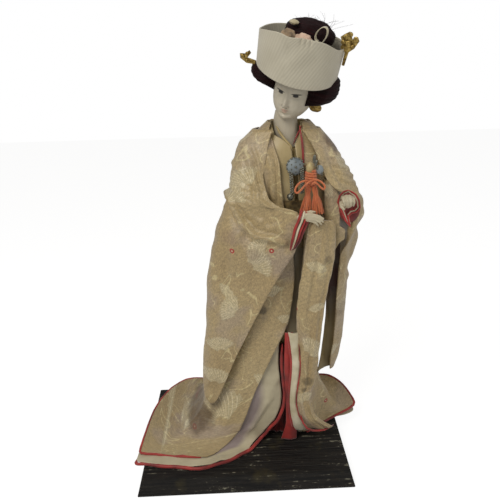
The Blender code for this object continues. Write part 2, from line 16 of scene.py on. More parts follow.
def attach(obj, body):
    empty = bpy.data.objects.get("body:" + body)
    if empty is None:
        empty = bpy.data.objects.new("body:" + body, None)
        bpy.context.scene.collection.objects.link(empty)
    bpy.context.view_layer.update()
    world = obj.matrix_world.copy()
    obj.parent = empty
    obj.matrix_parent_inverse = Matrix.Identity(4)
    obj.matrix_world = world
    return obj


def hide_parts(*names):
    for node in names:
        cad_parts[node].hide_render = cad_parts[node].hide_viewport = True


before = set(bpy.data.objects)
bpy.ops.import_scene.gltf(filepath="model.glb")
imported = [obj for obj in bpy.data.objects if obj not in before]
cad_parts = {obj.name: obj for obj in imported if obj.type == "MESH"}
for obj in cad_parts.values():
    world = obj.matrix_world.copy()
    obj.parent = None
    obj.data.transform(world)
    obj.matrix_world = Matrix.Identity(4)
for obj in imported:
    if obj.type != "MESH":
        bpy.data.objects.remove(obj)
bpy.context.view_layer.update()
MM = 0.001
BOARD_TOP = 18.0

# Camera
# A phone held a little above the doll's head and half a metre away, looking down at it.
# The view was worked out from the four corners of the board.
SENSOR, FOCAL_LENGTH = 36.0, 36.877
AIM, DISTANCE = (0.0120, 0, 0.2444), 0.5487
PITCH, YAW, ROLL = math.radians(19.518), math.radians(-1.5985), math.radians(-1.4475)
back = Vector((math.sin(YAW) * math.cos(PITCH), -math.cos(YAW) * math.cos(PITCH), math.sin(PITCH)))
level = Vector((math.cos(YAW), math.sin(YAW), 0))
rise = back.cross(level)
across = math.cos(ROLL) * level + math.sin(ROLL) * rise
upward = math.cos(ROLL) * rise - math.sin(ROLL) * level
lens = bpy.data.cameras.new("camera")
lens.sensor_width = SENSOR
lens.lens = FOCAL_LENGTH
lens.clip_start = 0.01
camera = bpy.data.objects.new("camera", lens)
bpy.context.scene.collection.objects.link(camera)
stand = Vector(AIM) + DISTANCE * back
camera.matrix_world = Matrix.Translation(stand) @ Matrix((across, upward, back)).transposed().to_4x4()
bpy.context.scene.camera = camera
bpy.context.scene.view_settings.view_transform = "Standard"


# Room
# A white table top under soft daylight from in front and above, with a weaker light from the side.
# The white of the background is the table's and the room's own colour.
def paint(code):
    """linear colour of an sRGB hex code"""
    parts = [int(code[i : i + 2], 16) / 255 for i in (1, 3, 5)]
    return (*[c / 12.92 if c < 0.04045 else ((c + 0.055) / 1.055) ** 2.4 for c in parts], 1.0)


def node(tree, kind, inputs, **settings):
    """add one node, with its settings and what goes into it"""
    made = tree.nodes.new(kind)
    for name, value in settings.items():
        setattr(made, name, value)
    for name, value in inputs.items():
        if isinstance(value, bpy.types.Node):
            value = next(plug for plug in value.outputs if plug.enabled)
        if isinstance(value, bpy.types.NodeSocket):
            tree.links.new(value, made.inputs[name])
        else:
            made.inputs[name].default_value = value
    return made


def stuff(name):
    """new material, its node tree and its shader"""
    made = bpy.data.materials.new(name)
    made.use_nodes = True
    return made, made.node_tree, made.node_tree.nodes["Principled BSDF"]


table_paint, tree, shader = stuff("white_table")
shader.inputs["Base Color"].default_value = paint("#f2f2f2")
shader.inputs["Roughness"].default_value = 0.9
seen = node(tree, "ShaderNodeLightPath", {})
white = node(tree, "ShaderNodeEmission", {"Color": (1, 1, 1, 1), "Strength": 1.25})
share = node(tree, "ShaderNodeMath", {0: seen.outputs["Is Camera Ray"], 1: 0.7}, operation="MULTIPLY")
both = node(tree, "ShaderNodeMixShader", {0: share, 1: shader.outputs[0], 2: white.outputs[0]})
tree.links.new(both.outputs[0], tree.nodes["Material Output"].inputs["Surface"])
bm = bmesh.new()
bmesh.ops.create_grid(bm, x_segments=1, y_segments=1, size=3)
mesh = bpy.data.meshes.new("table_top")
bm.to_mesh(mesh)
bm.free()
mesh.materials.append(table_paint)
table = bpy.data.objects.new("table_top", mesh)
table.location.z = -0.0005
bpy.context.scene.collection.objects.link(table)

world = bpy.data.worlds.new("room")
bpy.context.scene.world = world
world.use_nodes = True
tree = world.node_tree
tree.nodes.clear()
seen = node(tree, "ShaderNodeLightPath", {})
soft = node(tree, "ShaderNodeBackground", {"Color": (1, 0.985, 0.96, 1), "Strength": 0.33})
plain = node(tree, "ShaderNodeBackground", {"Color": (1, 1, 1, 1), "Strength": 1.0})
pick = node(tree, "ShaderNodeMixShader", {0: seen.outputs["Is Camera Ray"], 1: soft, 2: plain})
node(tree, "ShaderNodeOutputWorld", {"Surface": pick})
for name, where, power, size in (
    ("window", (-0.55, -0.75, 1.15), 9.0, 0.6),
    ("lamp", (0.9, -0.35, 0.75), 2.0, 0.5),
):
    lamp = bpy.data.lights.new(name, "AREA")
    lamp.energy = power
    lamp.size = size
    lamp.color = (1, 0.97, 0.92)
    item = bpy.data.objects.new(name, lamp)
    item.location = where
    item.rotation_euler = (Vector((0.03, 0, 0.22)) - Vector(where)).to_track_quat("-Z", "Y").to_euler()
    bpy.context.scene.collection.objects.link(item)


# Board
# A plank of black stained softwood with its grain brushed out, so ridges stand up along it.
# Dust and rubbed stain show as pale specks on the ridges.
def coat(tree, shader, tone, relief=None, **levels):
    """join colour and relief to the shader and set its other levels, such as Roughness"""
    for source, socket in ((tone, "Base Color"), (relief, "Normal")):
        if source is not None:
            tree.links.new(next(plug for plug in source.outputs if plug.enabled), shader.inputs[socket])
    for name, level in levels.items():
        shader.inputs[name.replace("_", " ")].default_value = level


def dress(solid, look):
    """give a solid of the part its material"""
    for slot in bpy.data.objects[solid].material_slots:
        slot.material = look


# Open grain: hard ridges left black and dull, a little dust caught on them.
wood, tree, shader = stuff("black_stained_softwood")
spot = node(tree, "ShaderNodeTexCoord", {}).outputs["Object"]
long = node(tree, "ShaderNodeMapping", {"Vector": spot, "Scale": (9, 150, 190)})
bend = node(tree, "ShaderNodeTexNoise", {"Vector": spot, "Scale": 9, "Detail": 2})
bent = node(tree, "ShaderNodeVectorMath", {0: long, 1: bend}, operation="ADD")
grain = node(tree, "ShaderNodeTexNoise", {"Vector": bent, "Scale": 2.2, "Detail": 6, "Roughness": 0.62})
ridge = node(tree, "ShaderNodeMapRange", {"Value": grain, "From Min": 0.38, "From Max": 0.62})
tone = node(tree, "ShaderNodeMix", {0: ridge, 6: paint("#060505"), 7: paint("#221e19")}, data_type="RGBA")
dots = node(tree, "ShaderNodeMapping", {"Vector": spot, "Scale": (230, 420, 420)})
speck = node(tree, "ShaderNodeTexNoise", {"Vector": dots, "Scale": 1, "Detail": 2})
dust = node(tree, "ShaderNodeMath", {0: speck, 1: ridge}, operation="MULTIPLY")
dust = node(tree, "ShaderNodeMapRange", {"Value": dust, "From Min": 0.5, "From Max": 0.62, "To Max": 0.75})
tone = node(tree, "ShaderNodeMix", {0: dust, 6: tone, 7: paint("#8d8a78")}, data_type="RGBA")
blot = node(tree, "ShaderNodeTexNoise", {"Vector": spot, "Scale": 34, "Detail": 3})
blot = node(tree, "ShaderNodeMapRange", {"Value": blot, "From Min": 0.6, "From Max": 0.8, "To Max": 0.3})
tone = node(tree, "ShaderNodeMix", {0: blot, 6: tone, 7: paint("#6f6338")}, data_type="RGBA")
relief = node(tree, "ShaderNodeBump", {"Strength": 0.9, "Distance": 0.0011, "Height": ridge})
coat(tree, shader, tone, relief, Roughness=0.62, Specular_IOR_Level=0.3)
dress("base_board", wood)


# Straw body and underskirt
# A bundle of straw on a post carries the clothes; only its cloth is seen.
# The underskirt is thin red silk in soft pleats, seen low down in the opening of the skirts.
def smooth(keys, at):
    """value on the smooth line through keys of (place, value, ...)"""
    at = min(max(at, keys[0][0]), keys[-1][0])
    i = 0
    while i < len(keys) - 2 and at > keys[i + 1][0]:
        i += 1
    found = []
    for k in range(1, len(keys[0])):
        slope = [(keys[j + 1][k] - keys[j][k]) / (keys[j + 1][0] - keys[j][0]) for j in
                 range(max(i - 1, 0), min(i + 2, len(keys) - 1))]
        here = slope[min(i, 1)]
        before = slope[0] if i > 0 else here
        after = slope[-1] if i < len(keys) - 2 else here
        start = 2 * before * here / (before + here) if before * here > 0 else (here if i == 0 else 0)
        end = 2 * after * here / (after + here) if after * here > 0 else (here if i == len(keys) - 2 else 0)
        width = keys[i + 1][0] - keys[i][0]
        t = (at - keys[i][0]) / width
        found.append(
            (2 * t**3 - 3 * t**2 + 1) * keys[i][k]
            + (t**3 - 2 * t**2 + t) * width * start
            + (3 * t**2 - 2 * t**3) * keys[i + 1][k]
            + (t**3 - t**2) * width * end
        )
    return found if len(found) > 1 else found[0]


def mount(name, data, look, replaced):
    """put a finished mesh or curve on the doll in place of its plain solids"""
    data.materials.append(look)
    item = bpy.data.objects.new(name, data)
    bpy.context.scene.collection.objects.link(item)
    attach(item, "root")
    if replaced:
        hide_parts(*replaced)
    return item


def put(name, bm, look, replaced):
    """finish a mesh made in millimetres and mount it"""
    bmesh.ops.translate(bm, vec=(0, 0, BOARD_TOP), verts=bm.verts)
    bmesh.ops.scale(bm, vec=(MM, MM, MM), verts=bm.verts)
    mesh = bpy.data.meshes.new(name)
    bm.to_mesh(mesh)
    bm.free()
    mesh.shade_smooth()
    return mount(name, mesh, look, replaced)


def thicken(piece, thick):
    """give a sheet its wall, half to each side"""
    wall = piece.modifiers.new("thickness", "SOLIDIFY")
    wall.thickness = thick * MM
    wall.offset = 0


def rumple(points, bump):
    """points of a sheet moved along its normals by bump(x, y, z, row, column), in millimetres"""
    along = np.gradient(points, axis=0)
    side = np.gradient(points, axis=1)
    out = np.cross(side, along)
    out /= np.maximum(np.linalg.norm(out, axis=2, keepdims=True), 1e-6)
    rows, columns = points.shape[:2]
    v, u = np.meshgrid(np.linspace(0, 1, rows), np.linspace(0, 1, columns), indexing="ij")
    lift = bump(points[..., 0], points[..., 1], points[..., 2], v, u)
    return points + out * lift[..., None]


def fine(points, size, amount, seed=0.0):
    """small unevenness of cloth, in millimetres"""
    found = np.zeros(points[0].shape)
    for index in np.ndindex(found.shape):
        at = Vector((points[0][index], points[1][index], points[2][index])) / size
        found[index] = noise.noise(at + Vector((seed, seed, seed)))
    return found * amount


def crease(x, z, path, width, depth):
    """valley with a soft lip on either side, along a path of (x, z)"""
    near = np.full(x.shape, 1e9)
    for (ax, az), (bx, bz) in zip(path[:-1], path[1:]):
        dx, dz = bx - ax, bz - az
        t = np.clip(((x - ax) * dx + (z - az) * dz) / (dx * dx + dz * dz), 0, 1)
        near = np.minimum(near, np.hypot(x - ax - t * dx, z - az - t * dz))
    return -depth * np.exp(-((near / width) ** 2)) + 0.5 * depth * np.exp(-(((near - 2 * width) / width) ** 2))


def creases(x, z, *lines):
    """sum of creases, each given as (path, width, depth)"""
    return sum(crease(x, z, *line) for line in lines)


def sheet_mesh(points, back_points=None):
    """grid mesh through points[row][column]; with back points it becomes a closed slab"""
    rows, columns = points.shape[:2]
    bm = bmesh.new()
    bmesh.ops.create_grid(bm, x_segments=columns - 1, y_segments=rows - 1, size=0.5)

    def grid_spot(vert):
        return round((0.5 - vert.co.y) * (rows - 1)), round((vert.co.x + 0.5) * (columns - 1))

    spots = {vert: grid_spot(vert) for vert in bm.verts}
    wide = np.zeros((rows, columns))
    deep = np.zeros((rows, columns))
    wide[:, 1:] = np.cumsum(np.linalg.norm(np.diff(points, axis=1), axis=2), axis=1)
    wide -= wide[:, columns // 2 : columns // 2 + 1]
    deep[1:] = np.cumsum(np.linalg.norm(np.diff(points, axis=0), axis=2), axis=0)
    layer = bm.loops.layers.uv.new("cloth")
    for face in bm.faces:
        for loop in face.loops:
            spot = spots[loop.vert]
            loop[layer].uv = (wide[spot] * MM, -deep[spot] * MM)
    if back_points is not None:
        raised = bmesh.ops.extrude_face_region(bm, geom=bm.faces[:])
        lifted = [v for v in raised["geom"] if isinstance(v, bmesh.types.BMVert)]
        for vert in lifted:
            vert.co = Vector(back_points[grid_spot(vert)])
    for vert, spot in spots.items():
        vert.co = Vector(points[spot])
    if back_points is not None:
        bmesh.ops.recalc_face_normals(bm, faces=bm.faces)
        if bm.calc_volume(signed=True) < 0:
            bmesh.ops.reverse_faces(bm, faces=bm.faces)
    return bm


def grid(surface, rows, columns):
    """points of a surface of (v down, u across), both 0 to 1"""
    return np.array([[surface(j / (rows - 1), i / (columns - 1)) for i in range(columns)] for j in range(rows)])


# Dry rice straw: dull yellow stalks that run up and down.
straw, tree, shader = stuff("rice_straw")
spot = node(tree, "ShaderNodeTexCoord", {}).outputs["Object"]
stalk = node(tree, "ShaderNodeMapping", {"Vector": spot, "Scale": (500, 500, 12)})
stalk = node(tree, "ShaderNodeTexNoise", {"Vector": stalk, "Scale": 1, "Detail": 2})
tone = node(tree, "ShaderNodeMix", {0: stalk, 6: paint("#7d6840"), 7: paint("#c9b27a")}, data_type="RGBA")
relief = node(tree, "ShaderNodeBump", {"Strength": 0.6, "Distance": 0.0005, "Height": stalk})
coat(tree, shader, tone, relief, Roughness=0.85)
dress("straw_body", straw)


def silk(name, dark, bright, rib, rough):
    """plain woven silk: ribs a thread or two wide and uneven dye"""
    made, tree, shader = stuff(name)
    spot = node(tree, "ShaderNodeTexCoord", {}).outputs["Object"]
    cloud = node(tree, "ShaderNodeTexNoise", {"Vector": spot, "Scale": 55, "Detail": 4})
    cloud = node(tree, "ShaderNodeMapRange", {"Value": cloud, "From Min": 0.35, "From Max": 0.65})
    tone = node(tree, "ShaderNodeMix", {0: cloud, 6: paint(dark), 7: paint(bright)}, data_type="RGBA")
    ribs = node(tree, "ShaderNodeMapping", {"Vector": spot, "Scale": (rib, rib * 0.3, rib * 0.3)})
    ribs = node(tree, "ShaderNodeTexNoise", {"Vector": ribs, "Scale": 1, "Detail": 3})
    relief = node(tree, "ShaderNodeBump", {"Strength": 0.35, "Distance": 0.0004, "Height": ribs})
    coat(tree, shader, tone, relief, Roughness=rough, Sheen_Weight=0.25)
    return made


RED = silk("red_dyed_silk", "#701714", "#b02d25", 900, 0.5)
DEEP_RED = silk("deep_red_silk", "#4a0c0b", "#86201a", 900, 0.55)
CREAM = silk("cream_silk", "#b3a887", "#d6ceb4", 700, 0.55)


def skirt(v, u):
    turn = math.radians(-178 + 356 * u)
    radius = 27 + 1.1 * math.sin(turn * 22) * (0.4 + 0.6 * v) + 1.5 * v**2
    return (44 + radius * math.sin(turn), 14 - radius * math.cos(turn), 118 * (1 - v) + 0.5)


skirt_points = grid(skirt, 40, 260)
skirt_piece = put("underskirt_silk", sheet_mesh(skirt_points), DEEP_RED, ["red_underskirt"])
thicken(skirt_piece, 0.6)

# Under kimono
# Grey lilac satin over the whole body, faded to cream towards its hem and its front edge.
# Its hem and edge are turned over a padded red roll; the collar at the neck is pale gold.
BODY = [
    (0.0, -34, 88, -34, 66), (60.0, -30, 86, -33, 64), (92.0, -22, 85, -32, 62),
    (132.0, -10, 86, -31, 56), (182.0, 0, 88, -29, 48), (242.0, 8, 93, -29, 40),
    (282.0, 8, 98, -30, 38), (312.0, 6, 98, -29, 36), (332.0, 9, 94, -24, 32),
    (348.0, 20, 85, -18, 27), (360.0, 31, 76, -14, 22),
]
HEM = [
    (-180, 20, 82, 9), (-150, -35, 86, 11), (-122, -75, 87, 12), (-105, -101, 60, 8),
    (-90, -114, 15, 6), (-72, -118, -43, 5), (-60, -81, -50, 4.6), (-50, -44, -56, 4.6),
    (-40, -17, -48, 4.6), (-30, 8, -36, 4.6), (-18, 28, -25, 4.6), (0, 46, -24, 4.6),
    (18, 60, -25, 4.6), (32, 71, -21, 4.6), (50, 85, -9, 4.6), (62, 93, -5, 4.6),
    (74, 106, 4, 6), (86, 128, 11, 10), (93, 137, 20, 13), (105, 128, 43, 22),
    (120, 112, 58, 27), (140, 88, 72, 20), (160, 56, 80, 10), (180, 20, 82, 9),
]
NECK, FLARE, HEM_Z = 360.0, 132.0, 4.6
UNDER_RIGHT = [(0, -82), (0.05, -30), (0.09, 2), (0.15, 4), (0.9, 4), (1.0, 3), (1.3, 12), (1.5, 3),
               (1.7, -14), (2.0, -30), (2.2, -32)]
UNDER_LEFT = [(0, 34), (0.05, 17), (0.09, 8), (0.15, 9), (0.9, 9), (1.0, 13), (1.3, 21), (1.6, 27), (2.2, 30)]
REACH = [(-100, 0, 0), (-85, -1, -2), (-72, -2, -10), (-60, -8, -13), (-50, -2, -10), (-40, 4, -8), (-28, 0, 0)]


def power(value, exponent):
    return math.copysign(abs(value) ** exponent, value)


def body_point(angle, height, depth):
    """point at a depth below the dressed body's outline"""
    left, right, front, rear = smooth(BODY, height)
    turn = math.radians(angle)
    x = (left + right) / 2 + ((right - left) / 2 - depth) * power(math.sin(turn), 0.9)
    y = (front + rear) / 2 - ((rear - front) / 2 - depth) * power(math.cos(turn), 0.9)
    return [x, y, height]


def robe_point(angle, drop, depth=0.0):
    """point of the robe: drop 0 is the neck, 1 the start of the flare, 2 the hem"""
    fall = min(max(drop - 1, 0), 1)
    height = NECK - (NECK - FLARE) * min(drop, 1)
    if fall > 0:
        height = HEM_Z + (FLARE - HEM_Z) * (1 - fall) ** 2.2
    x, y, z = body_point(angle, height, depth)
    if fall > 0:
        hem = smooth(HEM, angle)
        x += (hem[0] - x) * fall**2
        y += (hem[1] - y) * fall**2
        z += (hem[2] - HEM_Z) * fall**3
    turn = math.radians(angle)
    fold = 0.9 * (1 + math.sin(turn * 9)) * math.sin(math.pi * fall) ** 2
    return [x + fold * math.sin(turn), y - fold * math.cos(turn), z]


def wrap(first, last, u):
    """angle on the way from the last edge round the back to the first edge"""
    angle = last + (first + 360 - last) * u
    return angle - 360 if angle > 180 else angle


def under_point(angle, drop, depth=0.0):
    """point of the under kimono; past 2 it leaves the robe's hem"""
    fall = min(max(drop - 1, 0), 1)
    x, y, z = robe_point(angle, min(drop, 2), 4.6 + depth)
    tuck = smooth([(-180, 0), (-20, 0), (5, 1), (68, 1), (100, 0), (180, 0)], angle)
    turn = math.radians(angle)
    if fall > 0:
        inset = (5.6 + depth) * tuck * fall**2
        x -= inset * math.sin(turn)
        y += inset * math.cos(turn)
        z = HEM_Z + (FLARE - HEM_Z) * (1 - fall) ** 2.2 - (2.7 + depth) * fall
    if drop > 2:
        past = (drop - 2) / 0.2
        reach = smooth(REACH, angle)
        lip = 1.6 * (1 - 0.6 * tuck)
        x += (reach[0] + lip * math.sin(turn)) * past
        y += (reach[1] - lip * math.cos(turn)) * past
    return [x, y, z]


def under_kimono(v, u):
    drop = 2.2 * v**0.8
    angle = wrap(smooth(UNDER_RIGHT, drop), smooth(UNDER_LEFT, drop), u)
    x, y, z = under_point(angle, drop)
    shown = max(min(max((angle + 47) / 6, 0), 1), min(max((drop - 1.95) / 0.15, 0), 1))
    ripple = math.exp(-(((angle + 50) / 28) ** 2)) * max(drop - 1.25, 0) * shown
    return (x, y, z + 2.6 * ripple * (1 + math.sin(math.radians(angle * 17 + 60 * drop))) / 2)


# Silk satin gone grey: a soft gloss, lilac above and cream near its edges; from about 175 mm above the table up to the
# collar it is painted dark brown, a painted shade where the robe and the left front cover it; pale gold at the collar.
satin, tree, shader = stuff("lilac_silk_satin")
spot = node(tree, "ShaderNodeTexCoord", {}).outputs["Object"]
place = node(tree, "ShaderNodeSeparateXYZ", {"Vector": spot})
edge = node(tree, "ShaderNodeAttribute", {}, attribute_name="edge")
cloud = node(tree, "ShaderNodeTexNoise", {"Vector": spot, "Scale": 60, "Detail": 4})
lilac = node(tree, "ShaderNodeMix", {0: cloud, 6: paint("#6f605c"), 7: paint("#a39590")}, data_type="RGBA")
cream = node(tree, "ShaderNodeMix", {0: cloud, 6: paint("#9c9174"), 7: paint("#cfc5a8")}, data_type="RGBA")
near = node(tree, "ShaderNodeMapRange", {"Value": edge.outputs["Fac"], "From Min": 26.0, "From Max": 17.0})
tone = node(tree, "ShaderNodeMix", {0: near, 6: lilac.outputs[2], 7: cream.outputs[2]}, data_type="RGBA")
# painted shade: above 175 mm from the table the satin turns dark brown, up to where the gold collar begins
low = {"Value": place.outputs["Z"], "From Min": 0.145, "From Max": 0.175, "To Max": 0.85}
low = node(tree, "ShaderNodeMapRange", low)
tone = node(tree, "ShaderNodeMix", {0: low, 6: tone.outputs[2], 7: paint("#574b36")}, data_type="RGBA")
high = node(tree, "ShaderNodeMapRange", {"Value": place.outputs["Z"], "From Min": 0.27, "From Max": 0.3})
gold = node(tree, "ShaderNodeMix", {0: cloud, 6: paint("#8f7c50"), 7: paint("#c4b184")}, data_type="RGBA")
tone = node(tree, "ShaderNodeMix", {0: high, 6: tone.outputs[2], 7: gold.outputs[2]}, data_type="RGBA")
thread = node(tree, "ShaderNodeMapping", {"Vector": spot, "Scale": (900, 300, 300)})
thread = node(tree, "ShaderNodeTexNoise", {"Vector": thread, "Scale": 1, "Detail": 2})
relief = node(tree, "ShaderNodeBump", {"Strength": 0.3, "Distance": 0.0004, "Height": thread})
coat(tree, shader, tone, relief, Roughness=0.42, Sheen_Weight=0.3)

under_points = grid(under_kimono, 110, 190)


def under_folds(x, y, z, v, u):
    lift = fine((x, y, z), 16, 0.7, 3.0)
    lift += (y < 0) * creases(x, z, ([(44, 96), (10, 22), (-30, 6)], 3.5, 1.6), ([(40, 70), (2, 12)], 3, 1.2))
    return np.where(v < 0.9, np.minimum(lift, 0.1), lift)


under_points = rumple(under_points, under_folds)
bm = sheet_mesh(under_points)
mark = bm.verts.layers.float.new("edge")
rows, columns = under_points.shape[:2]
front_edge = under_points[:, -1]
for number, vert in enumerate(bm.verts):
    drop = rows - 1 - number // columns
    hem_way = float(np.linalg.norm(np.diff(under_points[drop:, number % columns], axis=0), axis=1).sum())
    side_way = float(np.linalg.norm(under_points[drop, number % columns] - front_edge[drop]))
    vert[mark] = min(hem_way, side_way)
under_piece = put("under_kimono_satin", bm, satin, ["under_kimono"])
thicken(under_piece, 1.0)


def rope(name, path, radius, look, replaced, sides=12, wobble=0.0, squash=1.0):
    """padded roll or braid along a path, tapering to closed ends"""
    bm = bmesh.new()
    count = len(path)
    rings = []
    for number, point in enumerate(path):
        here = Vector(point)
        along = (Vector(path[min(number + 1, count - 1)]) - Vector(path[max(number - 1, 0)])).normalized()
        side = along.cross(Vector((0, 0, 1)))
        side = side.normalized() if side.length > 0.05 else Vector((1, 0, 0))
        lift = side.cross(along)
        end = min(number, count - 1 - number) / 2.0
        size = radius * min(1.0, 0.35 + 0.65 * end) * (1 + wobble * noise.noise(here / 7))
        ring = bmesh.ops.create_circle(bm, segments=sides, radius=size)["verts"]
        for vert in ring:
            vert.co = here + side * vert.co.x + lift * vert.co.y * squash
        rings.append(ring)
    for low, high in zip(rings[:-1], rings[1:]):
        edges = [e for ring in (low, high) for e in {e for v in ring for e in v.link_edges
                 if e.verts[0] in ring and e.verts[1] in ring}]
        bmesh.ops.bridge_loops(bm, edges=edges)
    bmesh.ops.holes_fill(bm, edges=[e for e in bm.edges if e.is_boundary], sides=0)
    bmesh.ops.recalc_face_normals(bm, faces=bm.faces)
    return put(name, bm, look, replaced)


edge_line = []
for step in range(26):
    drop = 1.02 + 0.93 * step / 25
    x, y, z = under_point(smooth(UNDER_RIGHT, drop) + 3.5, drop)
    edge_line.append((x + 0.5, y - 1.0, max(z + 0.6, 2.6)))
for step in range(40):
    angle = -31 - 43 * step / 39
    x, y, z = under_point(angle, 2.2)
    wave = 1.3 * math.sin(math.radians(angle * 16)) + 0.8 * math.sin(math.radians(angle * 37))
    edge_line.append((x, y - 1.4 + wave, 2.0))
rope("under_kimono_padded_edge", edge_line, 1.9, RED, ["under_edge_roll", "under_hem_roll"],
     wobble=0.16)

# Sash
# The sash is a stiff band of dull gold weave, wound round the waist over the under kimono.
# A strip of it shows between the robe's fronts, as small dull checks.
weave, tree, shader = stuff("dull_gold_weave")
spot = node(tree, "ShaderNodeTexCoord", {}).outputs["Object"]
check = node(tree, "ShaderNodeTexVoronoi", {"Vector": spot, "Scale": 260})
tone = node(tree, "ShaderNodeMix", {0: check.outputs[0], 6: paint("#3f3421"), 7: paint("#7d6a42")}, data_type="RGBA")
relief = node(tree, "ShaderNodeBump", {"Strength": 0.5, "Distance": 0.0006, "Height": check.outputs[0]})
coat(tree, shader, tone, relief, Roughness=0.45)
dress("obi", weave)

# Robe
# Heavy silk brocade: a beige satin ground with cranes' wings, feathers and leaves in ivory and gold.
# It opens over the chest, trails on the board, and its hem is turned over a padded red roll.
fan = bpy.data.node_groups.new("feather_fan", "ShaderNodeTree")
fan.interface.new_socket("Vector", in_out="INPUT", socket_type="NodeSocketVector")
fan.interface.new_socket("Fill", in_out="OUTPUT", socket_type="NodeSocketFloat")
fan.interface.new_socket("Line", in_out="OUTPUT", socket_type="NodeSocketFloat")
entry = node(fan, "NodeGroupInput", {})
flat = node(fan, "ShaderNodeVectorMath", {0: entry.outputs[0], 1: (1, 1, 0)}, operation="MULTIPLY")
ways = node(fan, "ShaderNodeSeparateXYZ", {"Vector": flat})
radius = node(fan, "ShaderNodeVectorMath", {0: flat}, operation="LENGTH").outputs["Value"]
turn = node(fan, "ShaderNodeMath", {0: ways.outputs["X"], 1: ways.outputs["Y"]}, operation="ARCTAN2")
curl = node(fan, "ShaderNodeMath", {0: radius, 1: 0.55, 2: turn}, operation="MULTIPLY_ADD")
quill = node(fan, "ShaderNodeMath", {0: curl, 1: 19.0}, operation="MULTIPLY")
quill = node(fan, "ShaderNodeMath", {0: quill}, operation="SINE")
quill = node(fan, "ShaderNodeMath", {0: quill}, operation="ABSOLUTE")
tips = node(fan, "ShaderNodeMath", {0: quill, 1: 0.1, 2: 0.88}, operation="MULTIPLY_ADD")
inside = node(fan, "ShaderNodeMath", {0: tips, 1: radius}, operation="SUBTRACT")
inside = node(fan, "ShaderNodeMapRange", {"Value": inside, "From Min": 0.0, "From Max": 0.03})
beyond = node(fan, "ShaderNodeMapRange", {"Value": radius, "From Min": 0.2, "From Max": 0.24})
spread = node(fan, "ShaderNodeMath", {0: turn}, operation="ABSOLUTE")
spread = node(fan, "ShaderNodeMapRange", {"Value": spread, "From Min": 1.05, "From Max": 0.98})
body = node(fan, "ShaderNodeMath", {0: inside, 1: beyond}, operation="MULTIPLY")
body = node(fan, "ShaderNodeMath", {0: body, 1: spread}, operation="MULTIPLY")
stroke = node(fan, "ShaderNodeMapRange", {"Value": quill, "From Min": 0.34, "From Max": 0.2})
stroke = node(fan, "ShaderNodeMath", {0: stroke, 1: body}, operation="MULTIPLY")
node(fan, "NodeGroupOutput", {0: body, 1: stroke})


